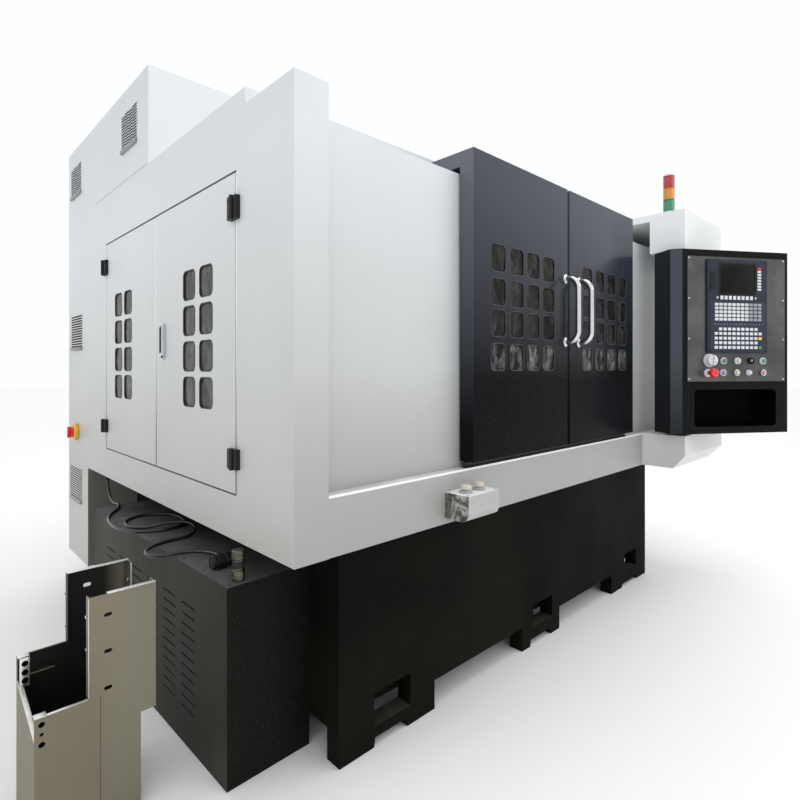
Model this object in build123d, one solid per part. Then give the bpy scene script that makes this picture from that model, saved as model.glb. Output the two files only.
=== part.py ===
from build123d import *
import math
import os

os.makedirs("parts", exist_ok=True)

# ---------------------------------------------------------------------------
# Enclosed CNC lathe.  Millimetres, +X to the machine's right, +Y to its back,
# +Z up.  Dimensions are written from the outer plane of the left wall (x = 0),
# the front plane of the apron (y = 0) and the floor (z = 0), and every piece is
# moved by (-OX, -OY) at the end so that the origin is at the centre of the
# bottom of the whole object.
# ---------------------------------------------------------------------------
OX = 1103.5
OY = 874.5

# housing
HOUSE_R = 2674.0          # outer plane of the right wall
HOUSE_B = 1894.0          # outer plane of the rear wall
SILL_Z = 647.0            # lower edge of the housing, top of the base
APRON_TOP = 811.0
PANEL_Y = 35.0            # plane of the recessed front panels
PANEL_TOP = 1806.0
COLUMN_X = 105.0
COLUMN_TOP = 1892.0
ROOF_Y = 252.0            # where the roof steps up
ROOF_TOP = 1940.0
WALL_T = 40.0

# front doors
DOOR_Y0, DOOR_Y1 = -30.0, 28.0
DOOR_Z0, DOOR_Z1 = 835.0, 1878.0
DOOR_ROOF_Z = 1827.0
DOOR_ROOF_Y = 240.0
DL_X0, DL_X1 = 670.0, 1282.0
DR_X0, DR_X1 = 1300.0, 1914.0
WIN_W, WIN_H, WIN_R = 88.0, 97.0, 20.0
WIN_ROWS = [1186.0, 1304.0, 1413.0, 1531.0]
DL_COLS = [809.0, 922.0, 1029.0, 1138.0]
DR_COLS = [1451.0, 1568.0, 1682.0, 1796.0]
HANDLE_Z0, HANDLE_Z1 = 1253.0, 1508.0
HANDLE_OUT = 63.0
HANDLE_R = 11.0

# front doorway
WAY_X0, WAY_X1 = 710.0, 1874.0

# side doors, in the left wall
SD_Y0, SD_Y1 = 310.0, 1576.0
SD_MID = 943.0
SD_Z0, SD_Z1 = 782.0, 1713.0
SD_T = 30.0
SD_GAP = 5.0
SD_AXIS_X = -16.0
SW_W, SW_H, SW_R = 98.0, 100.0, 20.0
SW_ROWS = [1068.0, 1186.0, 1305.0, 1424.0]
SD_F_COLS = [510.0, 641.0]
SD_R_COLS = [1272.0, 1399.0]
HINGE_Z = [(855.0, 913.0), (1575.0, 1642.0)]

# base
BASE_X0, BASE_X1 = 203.0, 2348.0
BASE_Y0, BASE_Y1 = 84.0, 1800.0
BASE_SPAN_Z = 95.0
FOOT_T = 60.0

# coolant tank
TANK_X0, TANK_Y0, TANK_TOP = -66.0, 228.0, 549.0
TANK_W, TANK_L = 269.0, 1175.0
TANK_TURN = 1.3           # the tank stands a little askew, about its front left corner

# control cabinet at the rear
CAB_X1 = 1400.0
CAB_Y0, CAB_Y1 = 1030.0, 2285.0
CAB_TOP = 2323.0
CAB_LEG_Z = 150.0
ISO_Y, ISO_Z = 2105.0, 811.0

# arm boxes on the right and the swinging control pendant between them
ARM_X0 = 2102.0
TOPBOX_Z0, TOPBOX_Z1 = 1734.0, 1934.0
ARM_Y0 = -206.0
BRACKET_X1 = 2688.0
PEND_A = -33.2            # angle of the pendant's face at rest
PEND_X, PEND_Y = 2018.0, -182.3
PEND_W, PEND_T = 646.0, 141.0
PEND_Z0, PEND_Z1 = 826.0, 1729.0
PIV_U, PIV_V = 90.0, 75.0  # pivot, along and behind the pendant's face


def bx(x0, x1, y0, y1, z0, z1):
    return Pos((x0 + x1) / 2, (y0 + y1) / 2, (z0 + z1) / 2) * Box(x1 - x0, y1 - y0, z1 - z0)


def rect_y(cx, cz, w, h, r, y0, y1):
    """A rounded rectangle in the XZ plane, drawn out from y0 to y1."""
    pl = Plane(origin=(cx, y0, cz), x_dir=(1, 0, 0), z_dir=(0, 1, 0))
    return extrude(pl * RectangleRounded(w, h, r), amount=y1 - y0)


def rect_x(cy, cz, w, h, r, x0, x1):
    """A rounded rectangle in the YZ plane, drawn out from x0 to x1."""
    pl = Plane(origin=(x0, cy, cz), x_dir=(0, 1, 0), z_dir=(1, 0, 0))
    return extrude(pl * RectangleRounded(w, h, r), amount=x1 - x0)


def cyl_z(x, y, r, z0, z1):
    return Pos(x, y, (z0 + z1) / 2) * Cylinder(r, z1 - z0)


def cyl_x(y, z, r, x0, x1):
    return Pos((x0 + x1) / 2, y, z) * Rot(0, 90, 0) * Cylinder(r, x1 - x0)


def cyl_y(x, z, r, y0, y1):
    return Pos(x, (y0 + y1) / 2, z) * Rot(90, 0, 0) * Cylinder(r, y1 - y0)


def poly_x(pts, x0, x1):
    """A polygon of (y, z) points drawn out along X."""
    w = Polyline(*[(x0, y, z) for y, z in pts], close=True)
    return extrude(make_face(w), amount=x1 - x0, dir=(1, 0, 0))


def poly_y(pts, y0, y1):
    """A polygon of (x, z) points drawn out along Y."""
    w = Polyline(*[(x, y0, z) for x, z in pts], close=True)
    return extrude(make_face(w), amount=y1 - y0, dir=(0, 1, 0))


def poly_z(pts, z0, z1):
    """A polygon of (x, y) points drawn out along Z."""
    w = Polyline(*[(x, y, z0) for x, y in pts], close=True)
    return extrude(make_face(w), amount=z1 - z0, dir=(0, 0, 1))


def group(*solids):
    return Compound(children=[s for s in solids])


NODES = {}


def put(name, shape):
    NODES[name] = shape


# --- base -------------------------------------------------------------------
# front and rear walls of the base, with the pocket tops cut into their lower edge
FEET = [(204.0, 604.0), (1127.0, 1417.0), (1929.0, 2347.0)]
NOTCH = [(335.0, 476.0, 28.0), (1185.0, 1345.0, 26.0), (2050.0, 2232.0, 16.0)]
POCKET = [(335.0, 490.0, 62.0, 165.0), (1209.0, 1356.0, 74.0, 164.0), (2080.0, 2224.0, 78.0, 165.0)]


def base_wall(y0, y1):
    w = bx(BASE_X0, BASE_X1, y0, y1, BASE_SPAN_Z, SILL_Z)
    for x0, x1, z0, z1 in POCKET:
        w = w - bx(x0, x1, y0 - 1, y1 + 1, BASE_SPAN_Z - 1, z1)
    return w


def foot(i, y0, y1):
    x0, x1 = FEET[i]
    nx0, nx1, nz = NOTCH[i]
    px0, px1, pz0, pz1 = POCKET[i]
    pts = [(x0, 0), (nx0, 0), (nx0 + 4, nz), (nx1 - 8, nz), (nx1, 0), (x1, 0), (x1, BASE_SPAN_Z),
           (px1, BASE_SPAN_Z), (px1, pz0), (px0, pz0), (px0, BASE_SPAN_Z), (x0, BASE_SPAN_Z)]
    return poly_y(pts, y0, y1)


put("base_walls", group(base_wall(BASE_Y0, BASE_Y0 + FOOT_T), base_wall(BASE_Y1 - FOOT_T, BASE_Y1)))
put("base_casting", group(bx(BASE_X0, BASE_X1, BASE_Y0 + FOOT_T, BASE_Y1 - FOOT_T, BASE_SPAN_Z, SILL_Z),
                          bx(BASE_X1, BASE_X1 + 64, 230, 560, 225, 410)))
put("base_feet", group(*([foot(i, BASE_Y0, BASE_Y0 + FOOT_T) for i in range(3)]
                         + [foot(i, BASE_Y1 - FOOT_T, BASE_Y1) for i in range(3)])))

# --- coolant tank -----------------------------------------------------------
# drawn in its own frame, from its front left corner
tank = bx(0, TANK_W, 0, TANK_L, 0, TANK_TOP)
SLIT_COLS = [(197 + 142.5 * i, 291 + 142.5 * i) for i in range(6)]
SLIT_Z0, SLIT_PITCH, SLIT_N = 112.0, 31.6, 11
for sy0, sy1 in SLIT_COLS:
    for k in range(SLIT_N):
        sz = SLIT_Z0 + k * SLIT_PITCH
        tank = tank - bx(-1, 10, sy0, sy1, sz - 2.8, sz + 2.8)
put("coolant_tank", Pos(TANK_X0, TANK_Y0, 0) * Rot(0, 0, TANK_TURN) * tank)
# short filler pipe with a fitting at each end, outside the line of the housing
PIPE_X, PIPE_Y = -15.0, 263.0
put("tank_pipe", cyl_z(PIPE_X, PIPE_Y, 15, TANK_TOP, TANK_TOP + 88)
    + cyl_z(PIPE_X, PIPE_Y, 18, TANK_TOP, TANK_TOP + 32)
    + cyl_z(PIPE_X, PIPE_Y, 18, TANK_TOP + 62, TANK_TOP + 88))
CONN_Y, CONN_Z = 388.0, TANK_TOP + 23
put("pump_connector", cyl_x(CONN_Y, CONN_Z, 21, -37, 24) + bx(-25, 11, CONN_Y - 13, CONN_Y + 13, TANK_TOP, CONN_Z)
    + cyl_y(10, CONN_Z, 9, CONN_Y, 409))

# pump cable: out of a gland under the housing, sagging to the rear edge of the tank, in loose loops on its
# top, and into the back of the connector
CABLE_R = 5.5
CABLE = [(34, 1690, 637), (34, 1690, 615), (34, 1684, 591), (33, 1668, 567), (31, 1641, 547), (28, 1603, 534),
         (24, 1560, 530), (19, 1518, 534), (13, 1478, 543), (6, 1439, 552), (-1, 1398, 556), (-10, 1356, 555),
         (-25, 1316, 555), (-50, 1278, 555), (-78, 1238, 555), (-99, 1187, 554.5),
         (-111, 1128, 554), (-116, 1062, 553), (-111, 996, 554), (-88, 938, 555), (-46, 893, 555), (8, 871, 555),
         (62, 878, 555), (99, 914, 555), (112, 970, 555), (111, 1034, 555), (92, 1092, 555), (52, 1130, 555),
         (0, 1138, 555), (-46, 1115, 555), (-74, 1070, 555), (-79, 1014, 555), (-60, 965, 555.4), (-24, 932, 559),
         (20, 912, 568), (62, 880, 574), (84, 836, 574), (86, 792, 568), (66, 755, 559), (28, 734, 555.2),
         (-15, 737, 555), (-54, 733, 555), (-84, 722, 554), (-119, 698, 552.5), (-132, 658, 552), (-119, 617, 552.5),
         (-84, 594, 554), (-50, 590, 555), (-15, 574, 555), (8, 546, 555.5), (16, 511, 559), (14, 475, 566),
         (11, 441, 571.5), (10, 409, 572)]


def corner_radii(pts):
    """The largest even arc at each corner of a route."""
    out = []
    for p, q, r in zip(pts, pts[1:], pts[2:]):
        a, b = Vector(*q) - Vector(*p), Vector(*r) - Vector(*q)
        out.append(0.45 * min(a.length, b.length) / math.tan(math.radians(a.get_angle(b)) / 2))
    return out


cable_radii = corner_radii(CABLE)
cable_path = FilletPolyline(*CABLE, radius=cable_radii)
cable = sweep(Plane(origin=CABLE[0], z_dir=(0, 0, -1)) * Circle(CABLE_R), path=cable_path)
print("cable", round(cable_path.length), "mm, volume ratio",
      round(cable.volume / (math.pi * CABLE_R ** 2 * cable_path.length), 4), "radii", [round(r) for r in cable_radii])
put("pump_cable", cable)
put("cable_gland", cyl_z(34, 1690, 15, 637, SILL_Z))

# --- housing ----------------------------------------------------------------
put("corner_column", bx(0, COLUMN_X, 0, ROOF_Y, SILL_Z, COLUMN_TOP)
    + bx(0, COLUMN_X, ROOF_Y, SD_Y0 - SD_GAP, SILL_Z, ROOF_TOP))
put("left_wall_sill", bx(0, WALL_T, SD_Y0 - SD_GAP, SD_Y1 + SD_GAP, SILL_Z, SD_Z0 - SD_GAP))
put("left_wall_header", bx(0, WALL_T, SD_Y0 - SD_GAP, SD_Y1 + SD_GAP, SD_Z1 + SD_GAP, ROOF_TOP))
put("left_wall_rear", bx(0, WALL_T, SD_Y1 + SD_GAP, HOUSE_B, SILL_Z, ROOF_TOP))
put("front_apron", bx(COLUMN_X, HOUSE_R, 0, ROOF_Y, SILL_Z + 1, APRON_TOP))
put("front_panels", group(bx(COLUMN_X, WAY_X0, PANEL_Y, ROOF_Y, APRON_TOP, PANEL_TOP),
                          bx(WAY_X1, HOUSE_R - 20, PANEL_Y, ROOF_Y, APRON_TOP, PANEL_TOP)))
CHAM_Y1, CHAM_Z0, CHAM_Z1 = 1300.0, 690.0, ROOF_TOP - 35
put("chamber_walls", bx(WAY_X0 - 40, WAY_X1 + 40, ROOF_Y + 48, CHAM_Y1 + 40, CHAM_Z0, CHAM_Z1)
    + bx(WAY_X0 - 40, WAY_X1 + 40, ROOF_Y, ROOF_Y + 48, CHAM_Z0, PANEL_TOP)
    - bx(WAY_X0, WAY_X1, ROOF_Y - 10, CHAM_Y1, CHAM_Z0 - 1, CHAM_Z1 + 1))
put("chamber_floor", bx(WALL_T, HOUSE_R - WALL_T, ROOF_Y, HOUSE_B - WALL_T, SILL_Z, 690)
    - bx(0, COLUMN_X, 0, SD_Y0 - SD_GAP, SILL_Z - 1, 700))
# roof, with the beam over the doorway and the rail that the doors hang from
put("roof", bx(WALL_T, HOUSE_R, ROOF_Y + 48, HOUSE_B, ROOF_TOP - 35, ROOF_TOP)
    - bx(0, COLUMN_X, 0, SD_Y0 - SD_GAP, ROOF_TOP - 40, ROOF_TOP + 1)
    + bx(COLUMN_X, HOUSE_R, ROOF_Y, ROOF_Y + 48, PANEL_TOP, ROOF_TOP)
    + bx(COLUMN_X + 5, HOUSE_R - 24, 206, ROOF_Y, PANEL_TOP, PANEL_TOP + 15))
put("right_wall", bx(HOUSE_R - WALL_T, HOUSE_R, ROOF_Y + 48, HOUSE_B, SILL_Z, ROOF_TOP - 35)
    + bx(HOUSE_R - 20, HOUSE_R, ROOF_Y, ROOF_Y + 48, APRON_TOP, PANEL_TOP))
put("rear_wall", bx(WALL_T, HOUSE_R - WALL_T, HOUSE_B - WALL_T, HOUSE_B, SILL_Z, ROOF_TOP - 35))

# --- control cabinet at the rear -------------------------------------------
put("electrical_cabinet", bx(0, CAB_X1, CAB_Y0, HOUSE_B, ROOF_TOP, CAB_TOP)
    + bx(0, CAB_X1, HOUSE_B, CAB_Y1, CAB_LEG_Z, CAB_TOP))
put("isolator_plate", cyl_x(ISO_Y, ISO_Z, 43.5, -22, 0))
put("isolator_knob", cyl_x(ISO_Y, ISO_Z, 26, -32, -22.6) + bx(-47, -32, ISO_Y - 9, ISO_Y + 9, ISO_Z - 29, ISO_Z + 29))

# --- front doors ------------------------------------------------------------
def front_leaf(x0, x1, cols):
    leaf = bx(x0, x1, DOOR_Y0, DOOR_Y1, DOOR_Z0, DOOR_Z1)
    for c in cols:
        for r in WIN_ROWS:
            leaf = leaf - rect_y(c, r, WIN_W, WIN_H, WIN_R, DOOR_Y0 - 1, DOOR_Y1 + 1)
    return leaf


def front_panes(cols):
    return group(*[rect_y(c, r, WIN_W - 0.4, WIN_H - 0.4, WIN_R - 0.2, DOOR_Y0 + 4, DOOR_Y0 + 10)
                   for c in cols for r in WIN_ROWS])


def d_handle(x):
    """A bent round bar on two flanges, standing out of the door."""
    y0 = DOOR_Y0
    yo = DOOR_Y0 - HANDLE_OUT
    z0, z1 = HANDLE_Z0, HANDLE_Z1
    path = FilletPolyline((x, y0, z0), (x, yo, z0), (x, yo, z1), (x, y0, z1), radius=44)
    prof = Plane(origin=(x, y0, z0), z_dir=(0, -1, 0)) * Circle(HANDLE_R)
    bar = sweep(prof, path=path)
    return bar + cyl_y(x, z0, 19, y0 - 10, y0) + cyl_y(x, z1, 19, y0 - 10, y0)


put("door_left_panel", front_leaf(DL_X0, DL_X1, DL_COLS))
put("door_left_roof", bx(DL_X0, DL_X1, DOOR_Y1, DOOR_ROOF_Y, DOOR_ROOF_Z, DOOR_Z1))
put("door_left_glass", front_panes(DL_COLS))
put("door_left_handle", d_handle(1253.0))
put("door_right_panel", front_leaf(DR_X0, DR_X1, DR_COLS))
put("door_right_roof", bx(DR_X0, DR_X1, DOOR_Y1, DOOR_ROOF_Y, DOOR_ROOF_Z, DOOR_Z1))
put("door_right_glass", front_panes(DR_COLS))
put("door_right_handle", d_handle(1361.0))

# --- side doors -------------------------------------------------------------
def side_leaf(y0, y1, cols):
    leaf = bx(0, SD_T, y0, y1, SD_Z0, SD_Z1)
    for c in cols:
        for r in SW_ROWS:
            leaf = leaf - rect_x(c, r, SW_W, SW_H, SW_R, -1, SD_T + 1)
    return leaf


def side_panes(cols):
    return group(*[rect_x(c, r, SW_W - 0.4, SW_H - 0.4, SW_R - 0.2, 4, 10)
                   for c in cols for r in SW_ROWS])


def hinge_leaf(y0, y1):
    return group(*[bx(-14, 0, y0, y1, z0, z1) for z0, z1 in HINGE_Z])


def hinge_knuckles(y, ya, yb):
    return [bx(-14, 0, ya, yb, z0, z1) + cyl_z(SD_AXIS_X, y, 6, z0, z1) for z0, z1 in HINGE_Z]


put("side_door_front", side_leaf(SD_Y0, SD_MID - 2.5, SD_F_COLS))
put("side_door_front_glass", side_panes(SD_F_COLS))
put("side_door_front_hinges", hinge_leaf(SD_Y0 + 2.5, SD_Y0 + 26))
put("side_door_rear", side_leaf(SD_MID + 2.5, SD_Y1, SD_R_COLS))
put("side_door_rear_glass", side_panes(SD_R_COLS))
put("side_door_rear_hinges", hinge_leaf(SD_Y1 - 26, SD_Y1 - 2.5))
put("side_hinge_knuckles", group(*(hinge_knuckles(SD_Y0 - 5, SD_Y0 - 28, SD_Y0 - 1)
                                   + hinge_knuckles(SD_Y1 + 5, SD_Y1 + 1, SD_Y1 + 28))))
SH_Y, SH_Z0, SH_Z1 = 865.0, 1178.0, 1309.0
put("side_door_handle", rect_x(SH_Y, (SH_Z0 + SH_Z1) / 2, 34, SH_Z1 - SH_Z0, 16.5, -6, 0)
    + rect_x(SH_Y - 4, (SH_Z0 + SH_Z1) / 2, 18, SH_Z1 - SH_Z0 - 14, 8.5, -26, -6))

# --- arm boxes --------------------------------------------------------------
top_box = bx(ARM_X0, HOUSE_R, ARM_Y0, DOOR_Y0 - 8, TOPBOX_Z0, TOPBOX_Z1)
put("top_box", top_box)
# cover over the right door's way, with the cheek that closes its outer end
put("top_box_cover", bx(ARM_X0, HOUSE_R, DOOR_Y0 - 8, ROOF_Y, 1900, TOPBOX_Z1)
    + bx(HOUSE_R - 20, HOUSE_R, DOOR_Y0 - 8, ROOF_Y, 813, 1900))
bracket = poly_x([(0, 648), (-149, 648), (ARM_Y0, 715), (ARM_Y0, 813), (0, 813)], ARM_X0, BRACKET_X1)
bracket = bracket - poly_y([(2646, 640), (2646, 648), (BRACKET_X1, 708), (BRACKET_X1 + 5, 708), (BRACKET_X1 + 5, 640)], ARM_Y0 - 1, 1)
put("lower_bracket", bracket)
TL_X, TL_Y = 2152.0, -113.0
put("tower_light", cyl_z(TL_X, TL_Y, 27.5, TOPBOX_Z1, 2130) + cyl_z(TL_X, TL_Y, 20, 2130, 2145))

# --- push-button box --------------------------------------------------------
BB_X0, BB_X1, BB_Y0, BB_Z0, BB_Z1 = 562.0, 719.0, -97.0, 667.0, 750.0
bb = [(0, BB_Z1), (BB_Y0, BB_Z1), (BB_Y0, BB_Z0 + 26), (BB_Y0 + 8, BB_Z0 + 9), (BB_Y0 + 26, BB_Z0), (0, BB_Z0)]
BTN = [(606.0, -50.0), (672.0, -50.0)]
put("button_box", poly_x(bb, BB_X0, BB_X1) + cyl_z(BTN[0][0], BTN[0][1], 20, BB_Z1, BB_Z1 + 6)
    + cyl_z(BTN[1][0], BTN[1][1], 20, BB_Z1, BB_Z1 + 6))
put("button_left", cyl_z(BTN[0][0], BTN[0][1], 17, BB_Z1 + 12, BB_Z1 + 26))
put("button_right", cyl_z(BTN[1][0], BTN[1][1], 17, BB_Z1 + 12, BB_Z1 + 26))

# --- swinging control pendant, in its own frame: u along the face, v inwards --
PEND = Pos(PEND_X, PEND_Y, 0) * Rot(0, 0, PEND_A)
POCKET_U0, POCKET_U1, POCKET_Z0, POCKET_Z1, POCKET_D = 114.0, 580.0, 860.0, 1043.0, 95.0
shell = poly_z([(0, 23), (48, 0), (PEND_W, 0), (PEND_W, PEND_T), (0, PEND_T)], PEND_Z0, PEND_Z1)
shell = shell - rect_y((POCKET_U0 + POCKET_U1) / 2, (POCKET_Z0 + POCKET_Z1) / 2, POCKET_U1 - POCKET_U0,
                       POCKET_Z1 - POCKET_Z0, 22, -1, POCKET_D)
shell = shell + cyl_z(PIV_U, PIV_V, 24, PEND_Z1, TOPBOX_Z0 - 1) + cyl_z(PIV_U, PIV_V, 24, 814, PEND_Z0)
put("pendant_case", PEND * shell)
put("pendant_plate", PEND * bx(74, 628, -3, 0, 1083, 1695))
put("control_unit", PEND * rect_y(345.5, 1452.5, 340, 460, 5, -15, -3))
KNOB_U, KNOB_Z = 193.0, 1186.0
STOP_U, STOP_Z = 183.0, 1125.0
put("pendant_buttons", PEND * group(*([cyl_y(u, z, 17, -24, -3) for u, z in
                                       [(271, 1184), (349, 1184), (427, 1184), (494.5, 1184),
                                        (267.5, 1126), (343, 1126), (413, 1126), (495.5, 1126)]]
                                      + [cyl_y(KNOB_U, KNOB_Z, 33, -8, -3), cyl_y(STOP_U, STOP_Z, 20, -12, -3)])))
put("override_knob", PEND * (cyl_y(KNOB_U, KNOB_Z, 31, -34, -8.6) + bx(KNOB_U - 3, KNOB_U + 3, -40, -34, KNOB_Z - 26, KNOB_Z + 26)))
put("estop_button", PEND * (cyl_y(STOP_U, STOP_Z, 23, -58, -38) + cyl_y(STOP_U, STOP_Z, 12, -38, -20)))

# --- work chamber machinery -------------------------------------------------
SP_Y, SP_Z = 640.0, 1165.0
bed = poly_x([(560, 690), (1300, 690), (1300, 1480), (1180, 1480), (560, 860)], WAY_X0, WAY_X1)
put("slant_bed", bed)
put("headstock", bx(WAY_X0, 930, 430, 900, 900, 1420) - bed)
put("chuck", cyl_x(SP_Y, SP_Z, 125, 930, 1040) + cyl_x(SP_Y, SP_Z, 80, 1040, 1060))

# --- galvanised chip chute, free standing beside the tank -------------------
T = 3.0
CH_X0, CH_XM, CH_XT, CH_X1 = -481.0, -246.0, -368.0, -208.0
CH_Y0, CH_Y1 = 350.0, 590.0


def chute_side(y0, y1, low_top):
    pts = [(CH_X0, 0), (CH_XM, 0), (CH_XM, 242), (CH_X1, 242), (CH_X1, 575), (CH_XT, 575),
           (CH_XT, low_top), (CH_X0, low_top)]
    return poly_y(pts, y0, y1)


near = chute_side(CH_Y0, CH_Y0 + T, 325)
for hz in (523, 431, 338):
    near = near - rect_y(-324, hz, 19, 10, 4.5, CH_Y0 - 1, CH_Y0 + T + 1)
for hz, hr in ((308, 7), (285, 4.5), (261, 7)):
    near = near - cyl_y(-466, hz, hr, CH_Y0 - 1, CH_Y0 + T + 1)
far = chute_side(CH_Y1 - T, CH_Y1, 383)
far = far - rect_y(-315, 527, 20, 11, 5, CH_Y1 - T - 1, CH_Y1 + 1)
put("chute_sides", group(near, far))
# upright flanges folded in at the ends of the tall plates
put("chute_flanges", group(bx(CH_X1 - T, CH_X1, CH_Y0 + T, CH_Y0 + 42, 242 + T, 575),
                           bx(CH_X1 - T, CH_X1, CH_Y1 - 42, CH_Y1 - T, 242 + T, 575),
                           bx(CH_XT, CH_XT + T, CH_Y0 + T, CH_Y0 + 24, 325, 575),
                           bx(CH_XT, CH_XT + T, CH_Y1 - 24, CH_Y1 - T, 383, 575)))
put("chute_bin", poly_x([(CH_Y0 + T, 0), (CH_Y1 - T, 0), (CH_Y1 - T, 315), (CH_Y0 + T, 268)], CH_X0, CH_X0 + T)
    + bx(CH_XM - T, CH_XM, CH_Y0 + T, CH_Y1 - T, 0, 242 + T)
    + bx(CH_XM - T, CH_X1, CH_Y0 + T, CH_Y1 - T, 242, 242 + T)
    + bx(CH_X0 + T, CH_XM - T, CH_Y0 + T, CH_Y1 - T, 0, T))

# --- write ------------------------------------------------------------------
lo = [1e9] * 3
hi = [-1e9] * 3
for name, shape in NODES.items():
    moved = Pos(-OX, -OY, 0) * shape
    b = moved.bounding_box()
    for i, (a, c) in enumerate(zip((b.min.X, b.min.Y, b.min.Z), (b.max.X, b.max.Y, b.max.Z))):
        lo[i] = min(lo[i], a)
        hi[i] = max(hi[i], c)
    export_step(moved, "parts/" + name + ".step")
print(len(NODES), "nodes, box", [round(v, 1) for v in lo], [round(v, 1) for v in hi],
      "centre", round((lo[0] + hi[0]) / 2, 2), round((lo[1] + hi[1]) / 2, 2))
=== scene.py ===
import bpy
import bmesh
import math
import random
from mathutils import Matrix, Vector


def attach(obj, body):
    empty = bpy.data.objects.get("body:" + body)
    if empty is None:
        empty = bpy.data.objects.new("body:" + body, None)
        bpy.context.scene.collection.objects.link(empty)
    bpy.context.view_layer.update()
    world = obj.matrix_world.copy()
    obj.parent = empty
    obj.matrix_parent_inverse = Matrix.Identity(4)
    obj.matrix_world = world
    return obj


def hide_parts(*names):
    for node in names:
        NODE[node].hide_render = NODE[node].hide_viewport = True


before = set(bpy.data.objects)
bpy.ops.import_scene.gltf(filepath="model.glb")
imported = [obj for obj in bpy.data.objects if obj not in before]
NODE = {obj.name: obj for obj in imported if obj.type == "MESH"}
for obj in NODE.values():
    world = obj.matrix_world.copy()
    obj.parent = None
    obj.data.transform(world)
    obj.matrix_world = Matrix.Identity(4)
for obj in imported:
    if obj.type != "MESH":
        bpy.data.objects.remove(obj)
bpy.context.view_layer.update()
rng = random.Random(11)

OX, OY = 1103.5, 874.5          # working millimetres to the row frame


def W(x, y, z):
    return Vector(((x - OX) / 1000.0, (y - OY) / 1000.0, z / 1000.0))


TO_ROW = Matrix.Translation(Vector((-OX / 1000.0, -OY / 1000.0, 0))) @ Matrix.Scale(0.001, 4)
PEND_A = math.radians(-33.2)
PEND = TO_ROW @ Matrix.Translation(Vector((2018.0, -182.3, 0))) @ Matrix.Rotation(PEND_A, 4, "Z")

# ---------------------------------------------------------------------------
# camera
# ---------------------------------------------------------------------------
cam_data = bpy.data.cameras.new("camera")
cam = bpy.data.objects.new("camera", cam_data)
bpy.context.scene.collection.objects.link(cam)
cam.location = W(-726.0, -1139.0, 1144.0)
cam.rotation_euler = (math.pi / 2, 0, -math.atan2(0.691, 0.723))
cam_data.sensor_width = 36.0
cam_data.lens = 24.08
cam_data.shift_y = -0.03875
cam_data.clip_start = 0.05
cam_data.clip_end = 200
bpy.context.scene.camera = cam


# ---------------------------------------------------------------------------
# node materials
# ---------------------------------------------------------------------------
class Mat:
    def __init__(self, name):
        self.m = bpy.data.materials.new(name)
        self.m.use_nodes = True
        self.nt = self.m.node_tree
        self.p = next(n for n in self.nt.nodes if n.type == "BSDF_PRINCIPLED")
        self.tc = self.nt.nodes.new("ShaderNodeTexCoord")
        self.co = self.tc.outputs["Object"]

    def node(self, kind, **kw):
        n = self.nt.nodes.new(kind)
        for k, v in kw.items():
            setattr(n, k, v)
        return n

    def link(self, a, b):
        self.nt.links.new(a, b)

    def put(self, name, v):
        s = self.p.inputs[name]
        if hasattr(v, "is_linked") or hasattr(v, "links"):
            self.link(v, s)
        elif isinstance(v, (tuple, list)):
            s.default_value = tuple(v) + (1.0,) * (4 - len(v)) if len(v) < 4 else v
        else:
            s.default_value = v

    def noise(self, scale, detail=4.0, rough=0.5, stretch=None, distortion=0.0):
        n = self.node("ShaderNodeTexNoise")
        n.inputs["Scale"].default_value = scale
        n.inputs["Detail"].default_value = detail
        n.inputs["Roughness"].default_value = rough
        n.inputs["Distortion"].default_value = distortion
        if stretch:
            mp = self.node("ShaderNodeMapping")
            mp.inputs["Scale"].default_value = stretch
            self.link(self.co, mp.inputs["Vector"])
            self.link(mp.outputs[0], n.inputs["Vector"])
        else:
            self.link(self.co, n.inputs["Vector"])
        return n.outputs["Fac"]

    def voronoi(self, scale, stretch=None, feature="F1"):
        n = self.node("ShaderNodeTexVoronoi", feature=feature)
        n.inputs["Scale"].default_value = scale
        if stretch:
            mp = self.node("ShaderNodeMapping")
            mp.inputs["Scale"].default_value = stretch
            self.link(self.co, mp.inputs["Vector"])
            self.link(mp.outputs[0], n.inputs["Vector"])
        else:
            self.link(self.co, n.inputs["Vector"])
        return n.outputs["Distance"]

    def remap(self, fac, a, b, lo=0.0, hi=1.0):
        n = self.node("ShaderNodeMapRange")
        n.inputs["From Min"].default_value = a
        n.inputs["From Max"].default_value = b
        n.inputs["To Min"].default_value = lo
        n.inputs["To Max"].default_value = hi
        self.link(fac, n.inputs["Value"])
        return n.outputs["Result"]

    def axis(self, i):
        n = self.node("ShaderNodeSeparateXYZ")
        self.link(self.co, n.inputs[0])
        return n.outputs[i]

    def mix(self, fac, a, b, mode="MIX"):
        n = self.node("ShaderNodeMix", data_type="RGBA", blend_type=mode)
        for s, v in ((n.inputs[6], a), (n.inputs[7], b)):
            if isinstance(v, (tuple, list)):
                s.default_value = tuple(v) + (1.0,) if len(v) == 3 else v
            else:
                self.link(v, s)
        if isinstance(fac, (int, float)):
            n.inputs[0].default_value = fac
        else:
            self.link(fac, n.inputs[0])
        return n.outputs[2]

    def mul(self, a, b, op="MULTIPLY"):
        n = self.node("ShaderNodeMath", operation=op)
        for s, v in ((n.inputs[0], a), (n.inputs[1], b)):
            if isinstance(v, (int, float)):
                s.default_value = v
            else:
                self.link(v, s)
        return n.outputs[0]

    def bump(self, height, strength=0.2, distance=0.001, normal=None):
        n = self.node("ShaderNodeBump")
        n.inputs["Strength"].default_value = strength
        n.inputs["Distance"].default_value = distance
        self.link(height, n.inputs["Height"])
        if normal is not None:
            self.link(normal, n.inputs["Normal"])
        self.link(n.outputs[0], self.p.inputs["Normal"])
        return n.outputs[0]


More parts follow.
